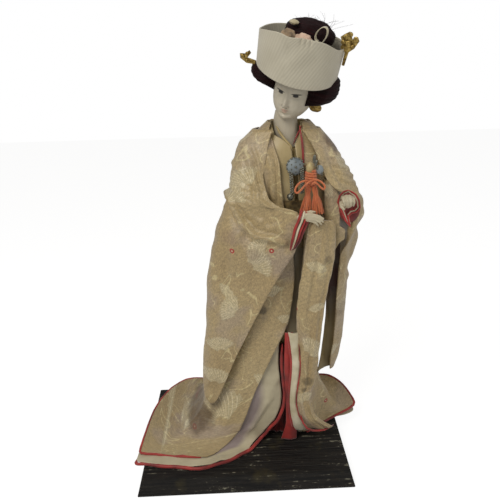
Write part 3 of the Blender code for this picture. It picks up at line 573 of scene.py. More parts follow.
def brocade(name, fans, heads, marks):
    """brocade with fans (x, z, turn, radius), cranes' heads (x, z) and stains (x, z, radius, code, strength)"""
    made, tree, shader = stuff(name)
    spot = node(tree, "ShaderNodeTexCoord", {}).outputs["Object"]
    ways = node(tree, "ShaderNodeSeparateXYZ", {"Vector": spot})
    front = node(tree, "ShaderNodeCombineXYZ", {"X": ways.outputs["X"], "Y": ways.outputs["Z"]})
    cloth = node(tree, "ShaderNodeUVMap", {}, uv_map="cloth")
    cloud = node(tree, "ShaderNodeTexNoise", {"Vector": cloth, "Scale": 17, "Detail": 3})
    cloud = node(tree, "ShaderNodeMapRange", {"Value": cloud, "From Min": 0.52, "From Max": 0.62, "To Max": 0.6})
    tone = node(tree, "ShaderNodeMix", {0: cloud, 6: paint("#a18b62"), 7: paint("#93827a")}, data_type="RGBA")
    glow = node(tree, "ShaderNodeTexNoise", {"Vector": cloth, "Scale": 9, "Detail": 3})
    glow = node(tree, "ShaderNodeMapRange", {"Value": glow, "From Min": 0.35, "From Max": 0.65, "To Max": 0.5})
    tone = node(tree, "ShaderNodeMix", {0: glow, 6: tone, 7: paint("#b8a67c")}, data_type="RGBA")
    # loose outlines of leaves and clouds in pale gold thread
    swirl = node(tree, "ShaderNodeTexNoise", {"Vector": cloth, "Scale": 26, "Detail": 1, "Distortion": 0.8})
    swirl = node(tree, "ShaderNodeMath", {0: swirl, 1: 9.0}, operation="MULTIPLY")
    swirl = node(tree, "ShaderNodeMath", {0: swirl, 1: 1.0}, operation="PINGPONG")
    swirl = node(tree, "ShaderNodeMapRange", {"Value": swirl, "From Min": 0.16, "From Max": 0.07})
    where = node(tree, "ShaderNodeTexNoise", {"Vector": cloth, "Scale": 21, "Detail": 1})
    where = node(tree, "ShaderNodeMapRange", {"Value": where, "From Min": 0.5, "From Max": 0.54, "To Max": 0.55})
    swirl = node(tree, "ShaderNodeMath", {0: swirl, 1: where}, operation="MULTIPLY")
    tone = node(tree, "ShaderNodeMix", {0: swirl, 6: tone, 7: paint("#d3c594")}, data_type="RGBA")
    # small scattered fans, one to each 48 mm of cloth, each turned its own way
    cells = {"Vector": cloth, "Scale": 21, "Randomness": 0.8}
    cells = node(tree, "ShaderNodeTexVoronoi", cells, voronoi_dimensions="2D")
    grown = node(tree, "ShaderNodeVectorMath", {0: cloth, 1: (21, 21, 0)}, operation="MULTIPLY")
    local = node(tree, "ShaderNodeVectorMath", {0: grown, 1: cells.outputs["Position"]}, operation="SUBTRACT")
    hues = node(tree, "ShaderNodeSeparateColor", {"Color": cells.outputs["Color"]})
    angle = node(tree, "ShaderNodeMath", {0: hues.outputs[0], 1: 6.28}, operation="MULTIPLY")
    local = node(tree, "ShaderNodeVectorRotate", {"Vector": local, "Angle": angle}, rotation_type="Z_AXIS")
    local = node(tree, "ShaderNodeVectorMath", {0: local, 1: (2.6, 2.6, 0)}, operation="MULTIPLY")
    small = node(tree, "ShaderNodeGroup", {}, node_tree=fan)
    tree.links.new(local.outputs[0], small.inputs[0])
    some = node(tree, "ShaderNodeMath", {0: hues.outputs[1], 1: 0.45}, operation="GREATER_THAN")
    fill = node(tree, "ShaderNodeMath", {0: small.outputs[0], 1: some}, operation="MULTIPLY")
    line = node(tree, "ShaderNodeMath", {0: small.outputs[1], 1: some}, operation="MULTIPLY")
    for x, z, turned, size in fans:
        moved = node(
            tree,
            "ShaderNodeMapping",
            {"Vector": front, "Location": (x * MM, (z + BOARD_TOP) * MM, 0), "Rotation": (0, 0, math.radians(turned)),
             "Scale": (size * MM, size * MM, 1)},
            vector_type="TEXTURE",
        )
        big = node(tree, "ShaderNodeGroup", {}, node_tree=fan)
        tree.links.new(moved.outputs[0], big.inputs[0])
        fill = node(tree, "ShaderNodeMath", {0: fill, 1: big.outputs[0]}, operation="MAXIMUM")
        line = node(tree, "ShaderNodeMath", {0: line, 1: big.outputs[1]}, operation="MAXIMUM")
    fill = node(tree, "ShaderNodeMath", {0: fill, 1: 0.38}, operation="MULTIPLY")
    tone = node(tree, "ShaderNodeMix", {0: fill, 6: tone, 7: paint("#c9bf9c")}, data_type="RGBA")
    line = node(tree, "ShaderNodeMath", {0: line, 1: 0.6}, operation="MULTIPLY")
    tone = node(tree, "ShaderNodeMix", {0: line, 6: tone, 7: paint("#e3d8b4")}, data_type="RGBA")
    for x, z in heads:
        at = node(tree, "ShaderNodeVectorMath", {0: front, 1: (x * MM, (z + BOARD_TOP) * MM, 0)}, operation="DISTANCE")
        away = at.outputs["Value"]
        for outer, inner, code in ((0.0027, 0.0022, "#a33228"), (0.001, 0.0006, "#cfc3a0")):
            disc = node(tree, "ShaderNodeMapRange", {"Value": away, "From Min": outer, "From Max": inner})
            tone = node(tree, "ShaderNodeMix", {0: disc, 6: tone, 7: paint(code)}, data_type="RGBA")
    ragged = node(tree, "ShaderNodeTexNoise", {"Vector": spot, "Scale": 70, "Detail": 4})
    for x, z, size, code, strength in marks:
        at = node(tree, "ShaderNodeVectorMath", {0: front, 1: (x * MM, (z + BOARD_TOP) * MM, 0)}, operation="DISTANCE")
        at = node(tree, "ShaderNodeMath", {0: ragged, 1: size * MM, 2: at.outputs["Value"]}, operation="MULTIPLY_ADD")
        soak = node(
            tree,
            "ShaderNodeMapRange",
            {"Value": at, "From Min": 1.45 * size * MM, "From Max": 1.0 * size * MM, "To Max": strength},
        )
        tone = node(tree, "ShaderNodeMix", {0: soak, 6: tone, 7: paint(code)}, data_type="RGBA")
    # threads of the weave, drawn 1.2 mm apart where the real ones are half that
    thread = node(tree, "ShaderNodeMapping", {"Vector": cloth, "Scale": (830, 420, 1)})
    thread = node(tree, "ShaderNodeTexNoise", {"Vector": thread, "Scale": 1, "Detail": 2})
    mottle = node(tree, "ShaderNodeTexNoise", {"Vector": cloth, "Scale": 280, "Detail": 3, "Roughness": 0.7})
    shade, mottle = [
        node(
            tree,
            "ShaderNodeMapRange",
            {"Value": value, "From Min": 0.35, "From Max": 0.65, "To Min": dark, "To Max": bright},
        )
        for value, dark, bright in ((thread, 0.8, 1.14), (mottle, 0.84, 1.16))
    ]
    shade = node(tree, "ShaderNodeMath", {0: shade, 1: mottle}, operation="MULTIPLY")
    tone = node(tree, "ShaderNodeVectorMath", {0: tone.outputs[2], 1: (1, 1, 1), "Scale": shade}, operation="SCALE")
    raised = node(tree, "ShaderNodeMath", {0: fill, 1: 1.5, 2: thread}, operation="MULTIPLY_ADD")
    relief = node(tree, "ShaderNodeBump", {"Strength": 0.75, "Distance": 0.0006, "Height": raised})
    gloss = node(tree, "ShaderNodeMapRange", {"Value": fill, "To Min": 0.44, "To Max": 0.3})
    coat(tree, shader, tone, relief, Sheen_Weight=0.2, Specular_IOR_Level=0.6)
    tree.links.new(gloss.outputs[0], shader.inputs["Roughness"])
    return made


ROBE_RIGHT = [(0, -60), (0.09, -20), (0.17, -11), (0.34, -8), (0.57, 6), (0.74, 12), (0.88, 11), (1.0, 2),
              (1.3, -17), (1.55, -31), (2, -50)]
ROBE_LEFT = [(0, 32), (0.1, 15), (0.34, 17), (0.57, 20), (1.0, 24), (1.5, 30), (2, 32)]


def robe(v, u):
    drop = 2 * v**0.85
    x, y, z = robe_point(wrap(smooth(ROBE_RIGHT, drop), smooth(ROBE_LEFT, drop), u), drop)
    draw = 0.08 * max(0, (z - 346) / 14) ** 2
    return (x + (53 - x) * draw, y + (2 - y) * draw, z)


def robe_folds(x, y, z, v, u):
    front = 1 / (1 + np.exp((y - 4) / 3))
    lift = creases(
        x, z,
        ([(22, 353), (27, 326), (27, 292)], 2.6, 2.4),
        ([(28, 347), (33.5, 320), (35, 288)], 2.4, 2.4),
        ([(38, 352), (43, 325), (43, 286)], 2.2, 1.5),
        ([(84, 340), (86, 308), (92, 292)], 2.6, 2.0),
        ([(30, 196), (-2, 120), (-40, 40)], 6, 1.6),
        ([(46, 140), (20, 70), (-6, 20)], 5, 1.4),
    )
    low = np.clip((v - 0.45) / 0.3, 0, 1)
    back_folds = np.sin(u * 60) * 1.1 * (1 - front) * (0.3 + 0.7 * low)
    lift = lift * front + back_folds + fine((x, y, z), 24, 1.3 + 1.3 * low, 7.0) + fine((x, y, z), 7, 0.35, 1.0)
    lift = np.where((z > 225) & (z < 315), np.maximum(lift, -0.9), lift)
    return np.where(v > 0.78, np.maximum(lift, -0.3), lift)


robe_points = rumple(grid(robe, 150, 210), robe_folds)
ROBE_CLOTH = brocade(
    "robe_brocade",
    [(-24, 24, 25, 48), (20, 70, -35, 24), (-58, 22, 60, 22), (118, 46, -60, 20), (30, 180, 10, 20),
     (-80, 20, 80, 22), (46, 150, -20, 14)],
    [(100, 26), (-58, 20)],
    [(-46, 34, 17, "#5a4426", 0.85), (-58, 22, 13, "#5a4426", 0.75), (-34, 48, 10, "#5c4829", 0.6),
     (23, 168, 6, "#4a3d22", 0.75), (88, 341, 6, "#5a4027", 0.7), (95, 334, 5, "#4f3624", 0.75)],
)
robe_piece = put("brocade_robe_cloth", sheet_mesh(robe_points), ROBE_CLOTH, ["brocade_robe"])
thicken(robe_piece, 1.1)
hem_line = []
for i in range(0, robe_points.shape[1], 2):
    end = Vector(robe_points[-1, i])
    onward = end - Vector(robe_points[-4, i])
    onward.normalize()
    spot = end + onward * 1.4
    hem_line.append((spot.x, spot.y, max(spot.z - 0.8, 2.1)))
rope("robe_padded_hem", hem_line, 1.5, RED, ["robe_hem_roll"], wobble=0.2)

# Left front of the robe
# The robe's left front is gathered into pleats and held up by the right hand, then falls to the board;
# above the hand it lies over the chest as far as the left cuff. Along its inner side hang the end of
# the under kimono, a cream fold with red edges, and the bright red front edge of the underskirt.
PANEL = [(16, 88, -29, 14, 3.2), (24, 81, -33, 13.5, 3.8), (34, 73.5, -37, 11.5, 4.2), (45, 68, -39, 10.2, 4.2),
         (67, 64.8, -39.5, 9.8, 4.2), (88, 69, -39.5, 10.4, 4.5), (110, 69.5, -39.5, 11.5, 4.8),
         (134, 70.5, -39, 12.4, 4.8), (177, 72.5, -39, 14.5, 4.8), (232, 80, -40, 15.5, 5), (262, 81, -42, 14, 4.4),
         (269, 80.5, -43, 11, 3)]


def panel(v, u):
    height = 16.5 + 252.5 * (1 - v)
    x, y, wide, deep = smooth(PANEL, height)
    turn = 2 * math.pi * u
    pleat = 1 + 0.2 * math.cos(turn * 7 + height / 50) + 0.1 * math.sin(turn * 12 - height / 33)
    return (x + wide * math.sin(turn), y - deep * pleat * math.cos(turn), height)


PANEL_CLOTH = brocade(
    "panel_brocade",
    [(74, 214, -20, 15), (66, 122, -50, 22), (68, 60, 20, 16), (80, 170, 15, 12)],
    [(56, 174)],
    [(70, 88, 7, "#5a4a26", 0.7), (66, 78, 4, "#5a4a26", 0.7), (88, 228, 6, "#574628", 0.5)],
)
panel_points = grid(panel, 120, 97)
panel_points = rumple(panel_points, lambda x, y, z, v, u: fine((x, y, z), 12, 0.9, 4.0))
panel_points[:, -1] = panel_points[:, 0]
bm = sheet_mesh(panel_points)
bmesh.ops.remove_doubles(bm, verts=bm.verts, dist=0.001)
bmesh.ops.holes_fill(bm, edges=[e for e in bm.edges if e.is_boundary], sides=0)
bmesh.ops.recalc_face_normals(bm, faces=bm.faces)
panel_piece = put("robe_left_front_cloth", bm, PANEL_CLOTH, ["robe_left_front"])


def chest_wing(v, u):
    height = 306 - 74 * v
    right = smooth([(232, 95), (242, 100), (248, 106), (256, 106), (262, 100), (285, 100), (292, 99),
                    (300, 94), (306, 90)], height)
    front = smooth([(232, -33.4), (250, -34.8), (268, -35.2), (285, -33.6), (306, -28.6)], height)
    return (86 + (right - 86) * u, front + 5 * (1 - u) ** 2, height)


wing_points = grid(chest_wing, 60, 24)
wing_points = rumple(wing_points, lambda x, y, z, v, u: fine((x, y, z), 9, 0.7, 6.0) * np.minimum(1, 3 * u))
wing_piece = put("robe_left_chest_cloth", sheet_mesh(wing_points), PANEL_CLOTH, ["robe_left_chest"])
thicken(wing_piece, 1.0)


def fold(v, u):
    height = 16 + 131 * (1 - v)
    left, right = smooth([(16, 56, 72), (30, 54, 67), (45, 51.4, 61), (63, 50.2, 58), (108, 52.6, 62),
                          (147, 48.8, 59)], height)
    depth = smooth(PANEL, height)[1]
    bend = math.sin(math.pi * u)
    return (left + (right - left) * u, depth - 1.2 - 2.6 * bend + 1.2 * (1 - u), height)


def red_strip(v, u):
    height = 2 + 142 * (1 - v)
    left, right = smooth([(2, 42, 60), (30, 47.5, 60), (67, 46.8, 55), (107, 45.2, 57), (144, 46, 54)], height)
    depth = smooth([(2, -29), (40, -33), (144, -34.5)], height)
    wave = 0.5 * math.sin(7 * u + height / 11)
    return (left + (right - left) * u, depth - 1.6 * math.sin(math.pi * u) + wave, height)


strip_piece = put("underskirt_front_edge", sheet_mesh(grid(red_strip, 60, 14)), RED, [])
thicken(strip_piece, 0.8)

fold_piece = put("under_kimono_left_fold", sheet_mesh(grid(fold, 60, 14)), CREAM, [])
thicken(fold_piece, 1.0)
FLOOR_CLEAR = 1.8
edge_line = []
for step in range(40):
    x, y, z = fold(step / 39, 0)
    edge_line.append((x - 0.5, y - 0.4, max(z, FLOOR_CLEAR)))
rope("left_fold_red_edge", edge_line, 1.3, RED, [], wobble=0.15)
hem_line = [(62.5, -43.6, 45), (65.5, -42.8, 34), (70, -40.8, 25), (77, -37.4, 18.6), (84, -34.4, 15.6),
            (92, -32, 14.6), (99, -28.6, 15), (104, -23, 14)]
rope("panel_red_hem", hem_line, 1.3, RED, [], wobble=0.2)
edge_line = []
for step in range(36):
    x, y, z = fold(0.1 + 0.9 * step / 35, 1)
    edge_line.append((x - 0.4, y - 2.2, max(z, FLOOR_CLEAR)))
rope("left_fold_inner_red_edge", edge_line, 0.7, RED, [], wobble=0.15)


# Sleeves
# Long hanging sleeves of the same brocade. The right forearm lies inside its sleeve and pushes it
# out, with gathers at the elbow; below the arm the sleeve hangs as a flat bag.
def sleeve_curves(back_keys, front_keys, side_keys, swell_keys, wall_keys, sign):
    def outer(u, height):
        rear = smooth(back_keys, height)
        front = smooth(front_keys, height)
        side = smooth(side_keys, height)
        swell = smooth(swell_keys, height)
        reach = math.sqrt(max((rear[0] - side) * (front[0] - side), 0))
        bend = side - sign * reach
        x = (1 - u) ** 2 * rear[0] + 2 * u * (1 - u) * bend + u**2 * front[0]
        y = (1 - u) ** 2 * rear[1] + 2 * u * (1 - u) * swell + u**2 * front[1]
        return Vector((x, y, height))

    def inner(u, height):
        spot = outer(u, height)
        along = outer(min(u + 0.01, 1), height) - outer(max(u - 0.01, 0), height)
        inward = Vector((-along.y, along.x, 0)).normalized() * sign
        thick, front_thick = smooth(wall_keys, height)
        deep = thick + (front_thick - thick) * u**2
        return spot + inward * (1.2 + (deep - 1.2) * math.sqrt(max(1 - abs(2 * u - 1) ** 4, 0)))

    return outer, inner


right_outer, right_inner = sleeve_curves(
    [(50, -38.6, -18), (56, -41.2, -14), (79, -42, -6), (127, -34, 4), (187, -27, 10), (222, -20, 16), (249, -14, 22),
     (269, -8, 26), (288, -3, 28), (312, 1, 28), (332, 6, 24), (350, 20.6, 16)],
    [(50, -36, -23.5), (56, -31.4, -26.5), (63, -28, -28), (117, -6, -33), (190, 28, -41), (230, 50, -44),
     (237, 54, -46), (257, 59, -48), (272, 60, -48), (280, 56, -47), (284, 40, -44), (292, 30, -38),
     (312, 26, -29), (332, 30, -23.5), (350, 33, -15)],
    [(50, -39.4), (55, -43.2), (61, -45), (79, -47), (127, -42), (187, -36), (222, -30), (249, -25), (269, -17),
     (288, -11), (307, -6), (319, -3), (338, 2), (350, 13.6)],
    [(50, -23), (79, -20), (187, -24), (249, -38), (288, -34), (332, -20), (350, -8)],
    [(50, 2.4, 2.2), (79, 5, 5), (187, 9, 9), (249, 12, 11), (275, 12, 11), (288, 9, 6), (312, 6, 4),
     (332, 5, 4), (350, 4, 3)],
    1,
)
left_outer, left_inner = sleeve_curves(
    [(75, 107, 22), (91, 109, 26), (123, 112, 32), (232, 114, 34), (282, 112, 32), (312, 104, 30),
     (332, 94, 26), (350, 82, 16)],
    [(75, 103, 0), (91, 101, -8), (123, 103, -14), (222, 106, -18), (245, 112, -30),
     (255, 113, -35), (288, 112, -36), (294, 102, -37), (300, 93, -37), (306, 88, -34.5),
     (320, 81, -28.5), (332, 77, -25), (350, 68, -18.8)],
    [(75, 109.5), (91, 114), (123, 118), (176, 120), (204, 122), (232, 127), (252, 125), (265, 129),
     (282, 128), (291, 122), (304, 118), (317, 111), (335, 100), (350, 88)],
    [(75, 8), (232, 0), (282, -22), (332, -19), (350, -8)],
    [(75, 4, 3), (123, 4, 2.5), (222, 5, 4), (255, 12, 12), (285, 12, 12), (300, 8, 5), (320, 4, 3.5),
     (332, 3, 3), (350, 1.6, 1.5)],
    -1,
)


def right_folds(x, y, z, v, u):
    lift = creases(
        x, z,
        ([(-9, 289), (2.7, 267), (16, 254), (29, 253), (44, 249)], 2.8, 4.4),
        ([(-6, 296), (8, 276), (22, 268)], 2.4, 1.3),
        ([(2, 262), (-6, 240), (-8, 214)], 3.5, 1.6),
        ([(20, 300), (20, 290), (30, 284)], 2.2, 2.2),
        ([(3, 344), (12, 328), (19, 302)], 2.0, 2.6),
        ([(14, 346), (21, 326), (24, 300)], 1.6, 1.6),
        ([(-4, 322), (8, 312), (20, 300)], 2.2, 1.2),
        ([(-24, 230), (-28, 150), (-38, 80)], 7, 1.6),
        ([(8, 236), (-8, 170), (-30, 90)], 9, 1.8),
    )
    elbow = np.exp(-(((x - 2) / 17) ** 2) - ((z - 289) / 15) ** 2)
    lift += 1.0 * elbow * np.sin((z * 0.9 + x * 0.28) * 1.1)
    lift += 0.6 * np.exp(-(((x - 28) / 20) ** 2) - ((z - 262) / 10) ** 2) * np.sin(z * 0.55 - x * 0.25)
    lift += 3.2 * np.exp(-(((z - 273) / 10) ** 2)) * np.exp(-(((x - 20) / 26) ** 2))
    lift += 0.8 * np.exp(-(((x - 30) / 16) ** 2) - ((z - 270) / 9) ** 2) * np.sin(x * 0.75 + z * 0.3)
    quiet = np.clip((345 - z) / 25, 0.2, 1) * np.clip((z - 50) / 30, 0.1, 1)
    return (lift + fine((x, y, z), 22, 1.5, 2.0) + fine((x, y, z), 6, 0.3, 9.0)) * quiet


def left_folds(x, y, z, v, u):
    lift = crease(x, z, [(88, 335), (100, 305), (116, 292)], 2.6, 1.6)
    arm = np.exp(-(((z - 312) / 22) ** 2)) * np.clip((x - 84) / 10, 0, 1)
    lift += 0.8 * arm * np.sin(z * 1.15 + x * 0.5)
    lift += crease(x, z, [(124, 262), (118, 240), (121, 200)], 4, 1.8)
    quiet = np.clip((345 - z) / 25, 0.2, 1) * np.clip((z - 75) / 25, 0.15, 1)
    return (lift + fine((x, y, z), 18, 1.1, 5.0) + fine((x, y, z), 6, 0.3, 9.0)) * quiet


RIGHT_CLOTH = brocade(
    "right_sleeve_brocade",
    [(8, 222, -60, 26), (-2, 168, 62, 22), (-22, 120, 10, 20), (24, 236, 40, 18), (-14, 286, -30, 24),
     (12, 300, 30, 22), (-32, 78, -10, 24), (-8, 196, 130, 14)],
    [(-7, 238), (32, 240)],
    [(14, 236, 9, "#7d6250", 0.35), (-10, 250, 10, "#8a6f5a", 0.3)],
)
LEFT_CLOTH = brocade(
    "left_sleeve_brocade",
    [(104, 312, -30, 18), (100, 96, 20, 20), (120, 150, 0, 24)],
    [],
    [(94, 341, 8, "#5a4027", 0.75), (99, 334, 6, "#4f3624", 0.75), (90, 345, 6, "#6a5236", 0.5),
     (112, 160, 12, "#5a4020", 0.35)],
)
for name, outer, inner, low, high, folds, look, node_name in (
    ("right_sleeve_cloth", right_outer, right_inner, 50, 350, right_folds, RIGHT_CLOTH, "right_sleeve"),
    ("left_sleeve_cloth", left_outer, left_inner, 75, 350, left_folds, LEFT_CLOTH, "left_sleeve"),
):
    outside = grid(lambda v, u: outer(u, high + (low - high) * v), 150, 80)
    inside = grid(lambda v, u: inner(u, high + (low - high) * v), 150, 80)
    facing = rumple(outside, folds)
    if np.linalg.norm(facing - inside, axis=2).mean() < np.linalg.norm(outside - inside, axis=2).mean() - 2:
        facing = 2 * outside - facing
    toward = 1 if node_name == "right_sleeve" else -1
    for points in (facing, inside):
        draw = np.clip((points[..., 2] - 336) / 14, 0, 1) ** 2
        points[..., 0] += 3.5 * toward * draw
        points[..., 2] += 3.5 * draw
    piece = put(name, sheet_mesh(facing, inside), look, [node_name])

# Linings and cuffs
# Red silk lines the sleeves. At the right wrist the cuffs of the robes show as red, cream, red and dark
# red bands; at the left wrist they stand round the hand as nested rims.
# Stained lining silk: brown and dark red blotches, turning a dull beige low down.
stained, tree, shader = stuff("stained_silk_lining")
spot = node(tree, "ShaderNodeTexCoord", {}).outputs["Object"]
blot = node(tree, "ShaderNodeTexNoise", {"Vector": spot, "Scale": 34, "Detail": 5})
blot = node(tree, "ShaderNodeMapRange", {"Value": blot, "From Min": 0.47, "From Max": 0.56})
tone = node(tree, "ShaderNodeMix", {0: blot, 6: paint("#4a4038"), 7: paint("#38150e")}, data_type="RGBA")
place = node(tree, "ShaderNodeSeparateXYZ", {"Vector": spot})
low = node(tree, "ShaderNodeMapRange", {"Value": place.outputs["Z"], "From Min": 0.2, "From Max": 0.15, "To Max": 0.85})
tone = node(tree, "ShaderNodeMix", {0: low, 6: tone.outputs[2], 7: paint("#85744c")}, data_type="RGBA")
relief = node(tree, "ShaderNodeBump", {"Strength": 0.3, "Distance": 0.0006, "Height": blot})
coat(tree, shader, tone, relief, Roughness=0.6)


def lining(v, u):
    height = 250 - 172 * v
    low = max(238 - height, 0) / 160
    side = 91.4 + 3 * math.sin(low * 3) - 6 * low**3
    front, depth = smooth([(78, 103, 3), (91, 102.4, -3), (123, 104.4, -10), (222, 106.4, -12), (238, 105.8, -15),
                           (250, 103.2, -16)], height)
    ripple = 0.6 * math.sin(height / 9 + 5 * u) + 0.4 * math.sin(height / 4.3 + 9 * u)
    return (side + (front - side) * u, -10 + (depth + 10) * u + 3 * math.sin(math.pi * u) + ripple * (1 - u), height)


lining_points = grid(lining, 80, 24)
lining_piece = put("left_sleeve_lining_silk", sheet_mesh(lining_points), stained, ["left_sleeve_lining"])
thicken(lining_piece, 0.8)

for name, look, radius, shift, lift, replaced in (
    ("right_cuff_red_outer", RED, 1.7, 0.6, 0.0, ["right_cuff_lining"]),
    ("right_cuff_cream", CREAM, 1.5, 3.4, 0.3, []),
    ("right_cuff_red_inner", RED, 1.6, 6.0, 0.0, []),
    ("right_cuff_dark_inner", DEEP_RED, 2.2, 8.6, -1.6, []),
):
    line = []
    for step in range(24):
        height = 283 - 41 * step / 23
        left = smooth([(241, 49.5), (263, 53.5), (275, 58), (284, 60.5)], height)
        room = smooth([(241, 0.1), (248, 0.55), (258, 0.9), (272, 1), (284, 0.85)], height)
        line.append((left + shift * room, -49.4 - lift * 0.8 + 0.25 * shift, height - 0.6 * shift * room))
    rope(name, line, radius, look, replaced, wobble=0.12, squash=0.8)

RIM = [(107, 297.5), (102, 296), (98.5, 292), (97, 286), (99.5, 280), (102.3, 274), (105.3, 267), (109.7, 261.5),
       (107.6, 268), (107, 272), (110, 274.8), (115, 275.8), (118.6, 280), (117.5, 287), (114, 293)]
for name, look, radius, inset, back_off, replaced in (
    ("left_cuff_red_rim", RED, 0.9, 0.0, 0.0, ["left_cuff_edge"]),
    ("left_cuff_cream_rim", CREAM, 0.7, 1.6, 0.5, []),
    ("left_cuff_red_inner_rim", RED, 0.7, 2.9, 0.9, []),
):
    line = []
    for step in range(61):
        at = step / 60 * len(RIM)
        before, after = RIM[int(at) % len(RIM)], RIM[(int(at) + 1) % len(RIM)]
        part = at - int(at)
        part = part * part * (3 - 2 * part)
        x = before[0] + (after[0] - before[0]) * part
        z = before[1] + (after[1] - before[1]) * part
        toward = Vector((109 - x, 0, 281 - z))
        far = max(toward.length, 1)
        x += toward.x / far * inset
        z += toward.z / far * inset
        line.append((x, -38.6 - 1.8 * math.exp(-(((z - 268) / 12) ** 2)) + 0.2 * inset + back_off, z))
    rope(name, line, radius, look, replaced, wobble=0.15)
bm = bmesh.new()
bmesh.ops.create_circle(bm, cap_ends=True, cap_tris=False, segments=40, radius=1)
bmesh.ops.inset_individual(bm, faces=bm.faces[:], thickness=0.35, depth=0.0)
for vert in bm.verts:
    spot = vert.co.copy()
    vert.co = Vector((109 + 10.5 * spot.x, -37.9, 280 + 15.5 * spot.y))
made = bmesh.ops.extrude_face_region(bm, geom=bm.faces[:])
bmesh.ops.translate(bm, vec=(0, 0.5, 0), verts=[v for v in made["geom"] if isinstance(v, bmesh.types.BMVert)])
bmesh.ops.recalc_face_normals(bm, faces=bm.faces)
put("left_cuff_inside", bm, DEEP_RED, [])

# Collars
# A gold edged collar crosses at the throat over a thin dark red one, and a red cord runs down to the
# sheath from the left of the neck.
GOLD_SILK = silk("gold_collar_silk", "#8d7848", "#c9b785", 800, 0.42)
for name, line, radius, look, replaced, slot in (
    ("throat_collar_right", [(40, -3, 359), (41, -7.5, 355), (43.5, -11.5, 350), (48, -15.4, 343.8),
     (53.5, -18.2, 338.5), (55, -20, 334)], 1.3, GOLD_SILK, [], "kimono_satin"),
    ("throat_collar_left", [(69, -4, 361), (64.5, -9.5, 355), (60.5, -14, 348.5), (57.4, -17, 343), (55.4, -18.6, 339)],
     0.9, DEEP_RED, [], "red_silk"),
    ("red_collar_cord", [(62, -16.4, 357), (63, -19.8, 349), (64, -22.9, 341), (64.4, -25.2, 333), (64.5, -27, 325),
     (64.5, -28.4, 317), (64.5, -29.4, 312)], 1.2, RED, ["red_collar"], "red_silk"),
):
    rope(name, line, radius, look, replaced)

# Head
# Moulded head coated with ivory white shell paint and burnished, so it has a soft gloss.
# Narrow black eyes, thin brows and pale lips are painted on; the face is small and calm.
turn = (
    Matrix.Rotation(math.radians(-28), 3, "Z")
    @ Matrix.Rotation(math.radians(14), 3, "X")
    @ Matrix.Rotation(math.radians(16), 3, "Y")
)
HEAD_AT = Vector((57.0, -10.0, 388.3))
HEAD = [(-23.5, 4.5, -12.6, 6), (-22.5, 6.8, -15.2, 9), (-20.5, 10.6, -16.6, 11), (-17, 14.1, -17.2, 13),
        (-12, 17.3, -17.8, 16), (-5, 19.2, -17.6, 19), (3, 19.8, -17.2, 20.5), (12, 18.6, -16.6, 20.5),
        (20, 15, -13.5, 17), (25, 9.5, -8.5, 12), (27.5, 3, -2, 6)]


def head(x, y, z):
    """a point given in the head's own frame"""
    return turn @ Vector((x, y, z)) + HEAD_AT


def bell(value, centre, width):
    return math.exp(-(((value - centre) / width) ** 2))


face, tree, shader = stuff("burnished_shell_paint")
local = node(tree, "ShaderNodeAttribute", {}, attribute_name="face").outputs["Vector"]
ways = node(tree, "ShaderNodeSeparateXYZ", {"Vector": local})
plain = node(tree, "ShaderNodeCombineXYZ", {"X": ways.outputs["X"], "Y": ways.outputs["Z"]})
facing = node(tree, "ShaderNodeMath", {0: ways.outputs["Y"], 1: -6.0}, operation="LESS_THAN")
haze = node(tree, "ShaderNodeTexNoise", {"Vector": local, "Scale": 0.22, "Detail": 4})
tone = node(tree, "ShaderNodeMix", {0: haze, 6: paint("#b0a793"), 7: paint("#cbc4b2")}, data_type="RGBA")
# painted shade: the lower face is painted darker towards the chin, as shade under the jaw
painted_chin_shade = {"Value": ways.outputs["Z"], "From Min": -9.0, "From Max": -24.0, "To Max": 0.35}
painted_chin_shade = node(tree, "ShaderNodeMapRange", painted_chin_shade)
tone = node(tree, "ShaderNodeMix", {0: painted_chin_shade, 6: tone, 7: paint("#9b8d74")}, data_type="RGBA")
# whites, irises, painted shade in the nostrils and at the sides of the nose, lids, lower lids, brows, then the lips and
# their line
for x, z, turned, half_wide, half_high, code, strength in (
    (7.9, 2.1, 4, 4.6, 1.9, "#c9c2ae", 0.9),
    (7.5, 2.0, 4, 2.7, 1.7, "#0b0806", 1.0),
    (1.5, -10.2, 0, 0.9, 0.5, "#4e4236", 0.8),
    (3.4, -8.4, 20, 0.7, 1.5, "#8d8270", 0.5),
    (8.1, 3.5, 5, 4.9, 0.7, "#1a120d", 0.95),
    (8.2, 0.9, 3, 3.4, 0.35, "#54463a", 0.5),
    (8.6, 9.6, -6, 5.4, 0.55, "#544a3c", 0.6),
    (0, -12.3, 0, 3.6, 0.85, "#b08a78", 0.7),
    (0, -14.2, 0, 2.7, 0.9, "#b48f7c", 0.7),
    (0, -13.2, 0, 3.9, 0.28, "#6b4438", 0.8),
):
    for side in (1, -1) if x else (1,):  # what lies off the middle is painted on both sides
        moved = {"Vector": plain, "Location": (side * x, z, 0), "Rotation": (0, 0, math.radians(side * turned)),
                 "Scale": (half_wide, half_high, 1)}
        moved = node(tree, "ShaderNodeMapping", moved, vector_type="TEXTURE")
        out = node(tree, "ShaderNodeVectorMath", {0: moved}, operation="LENGTH").outputs["Value"]
        stroke = node(tree, "ShaderNodeMapRange", {"Value": out, "From Min": 1.12, "From Max": 0.8, "To Max": strength})
        stroke = node(tree, "ShaderNodeMath", {0: stroke, 1: facing}, operation="MULTIPLY")
        tone = node(tree, "ShaderNodeMix", {0: stroke, 6: tone, 7: paint(code)}, data_type="RGBA")
coat(tree, shader, tone, Roughness=0.4, Subsurface_Weight=0.06, Subsurface_Radius=(0.002, 0.0015, 0.001))

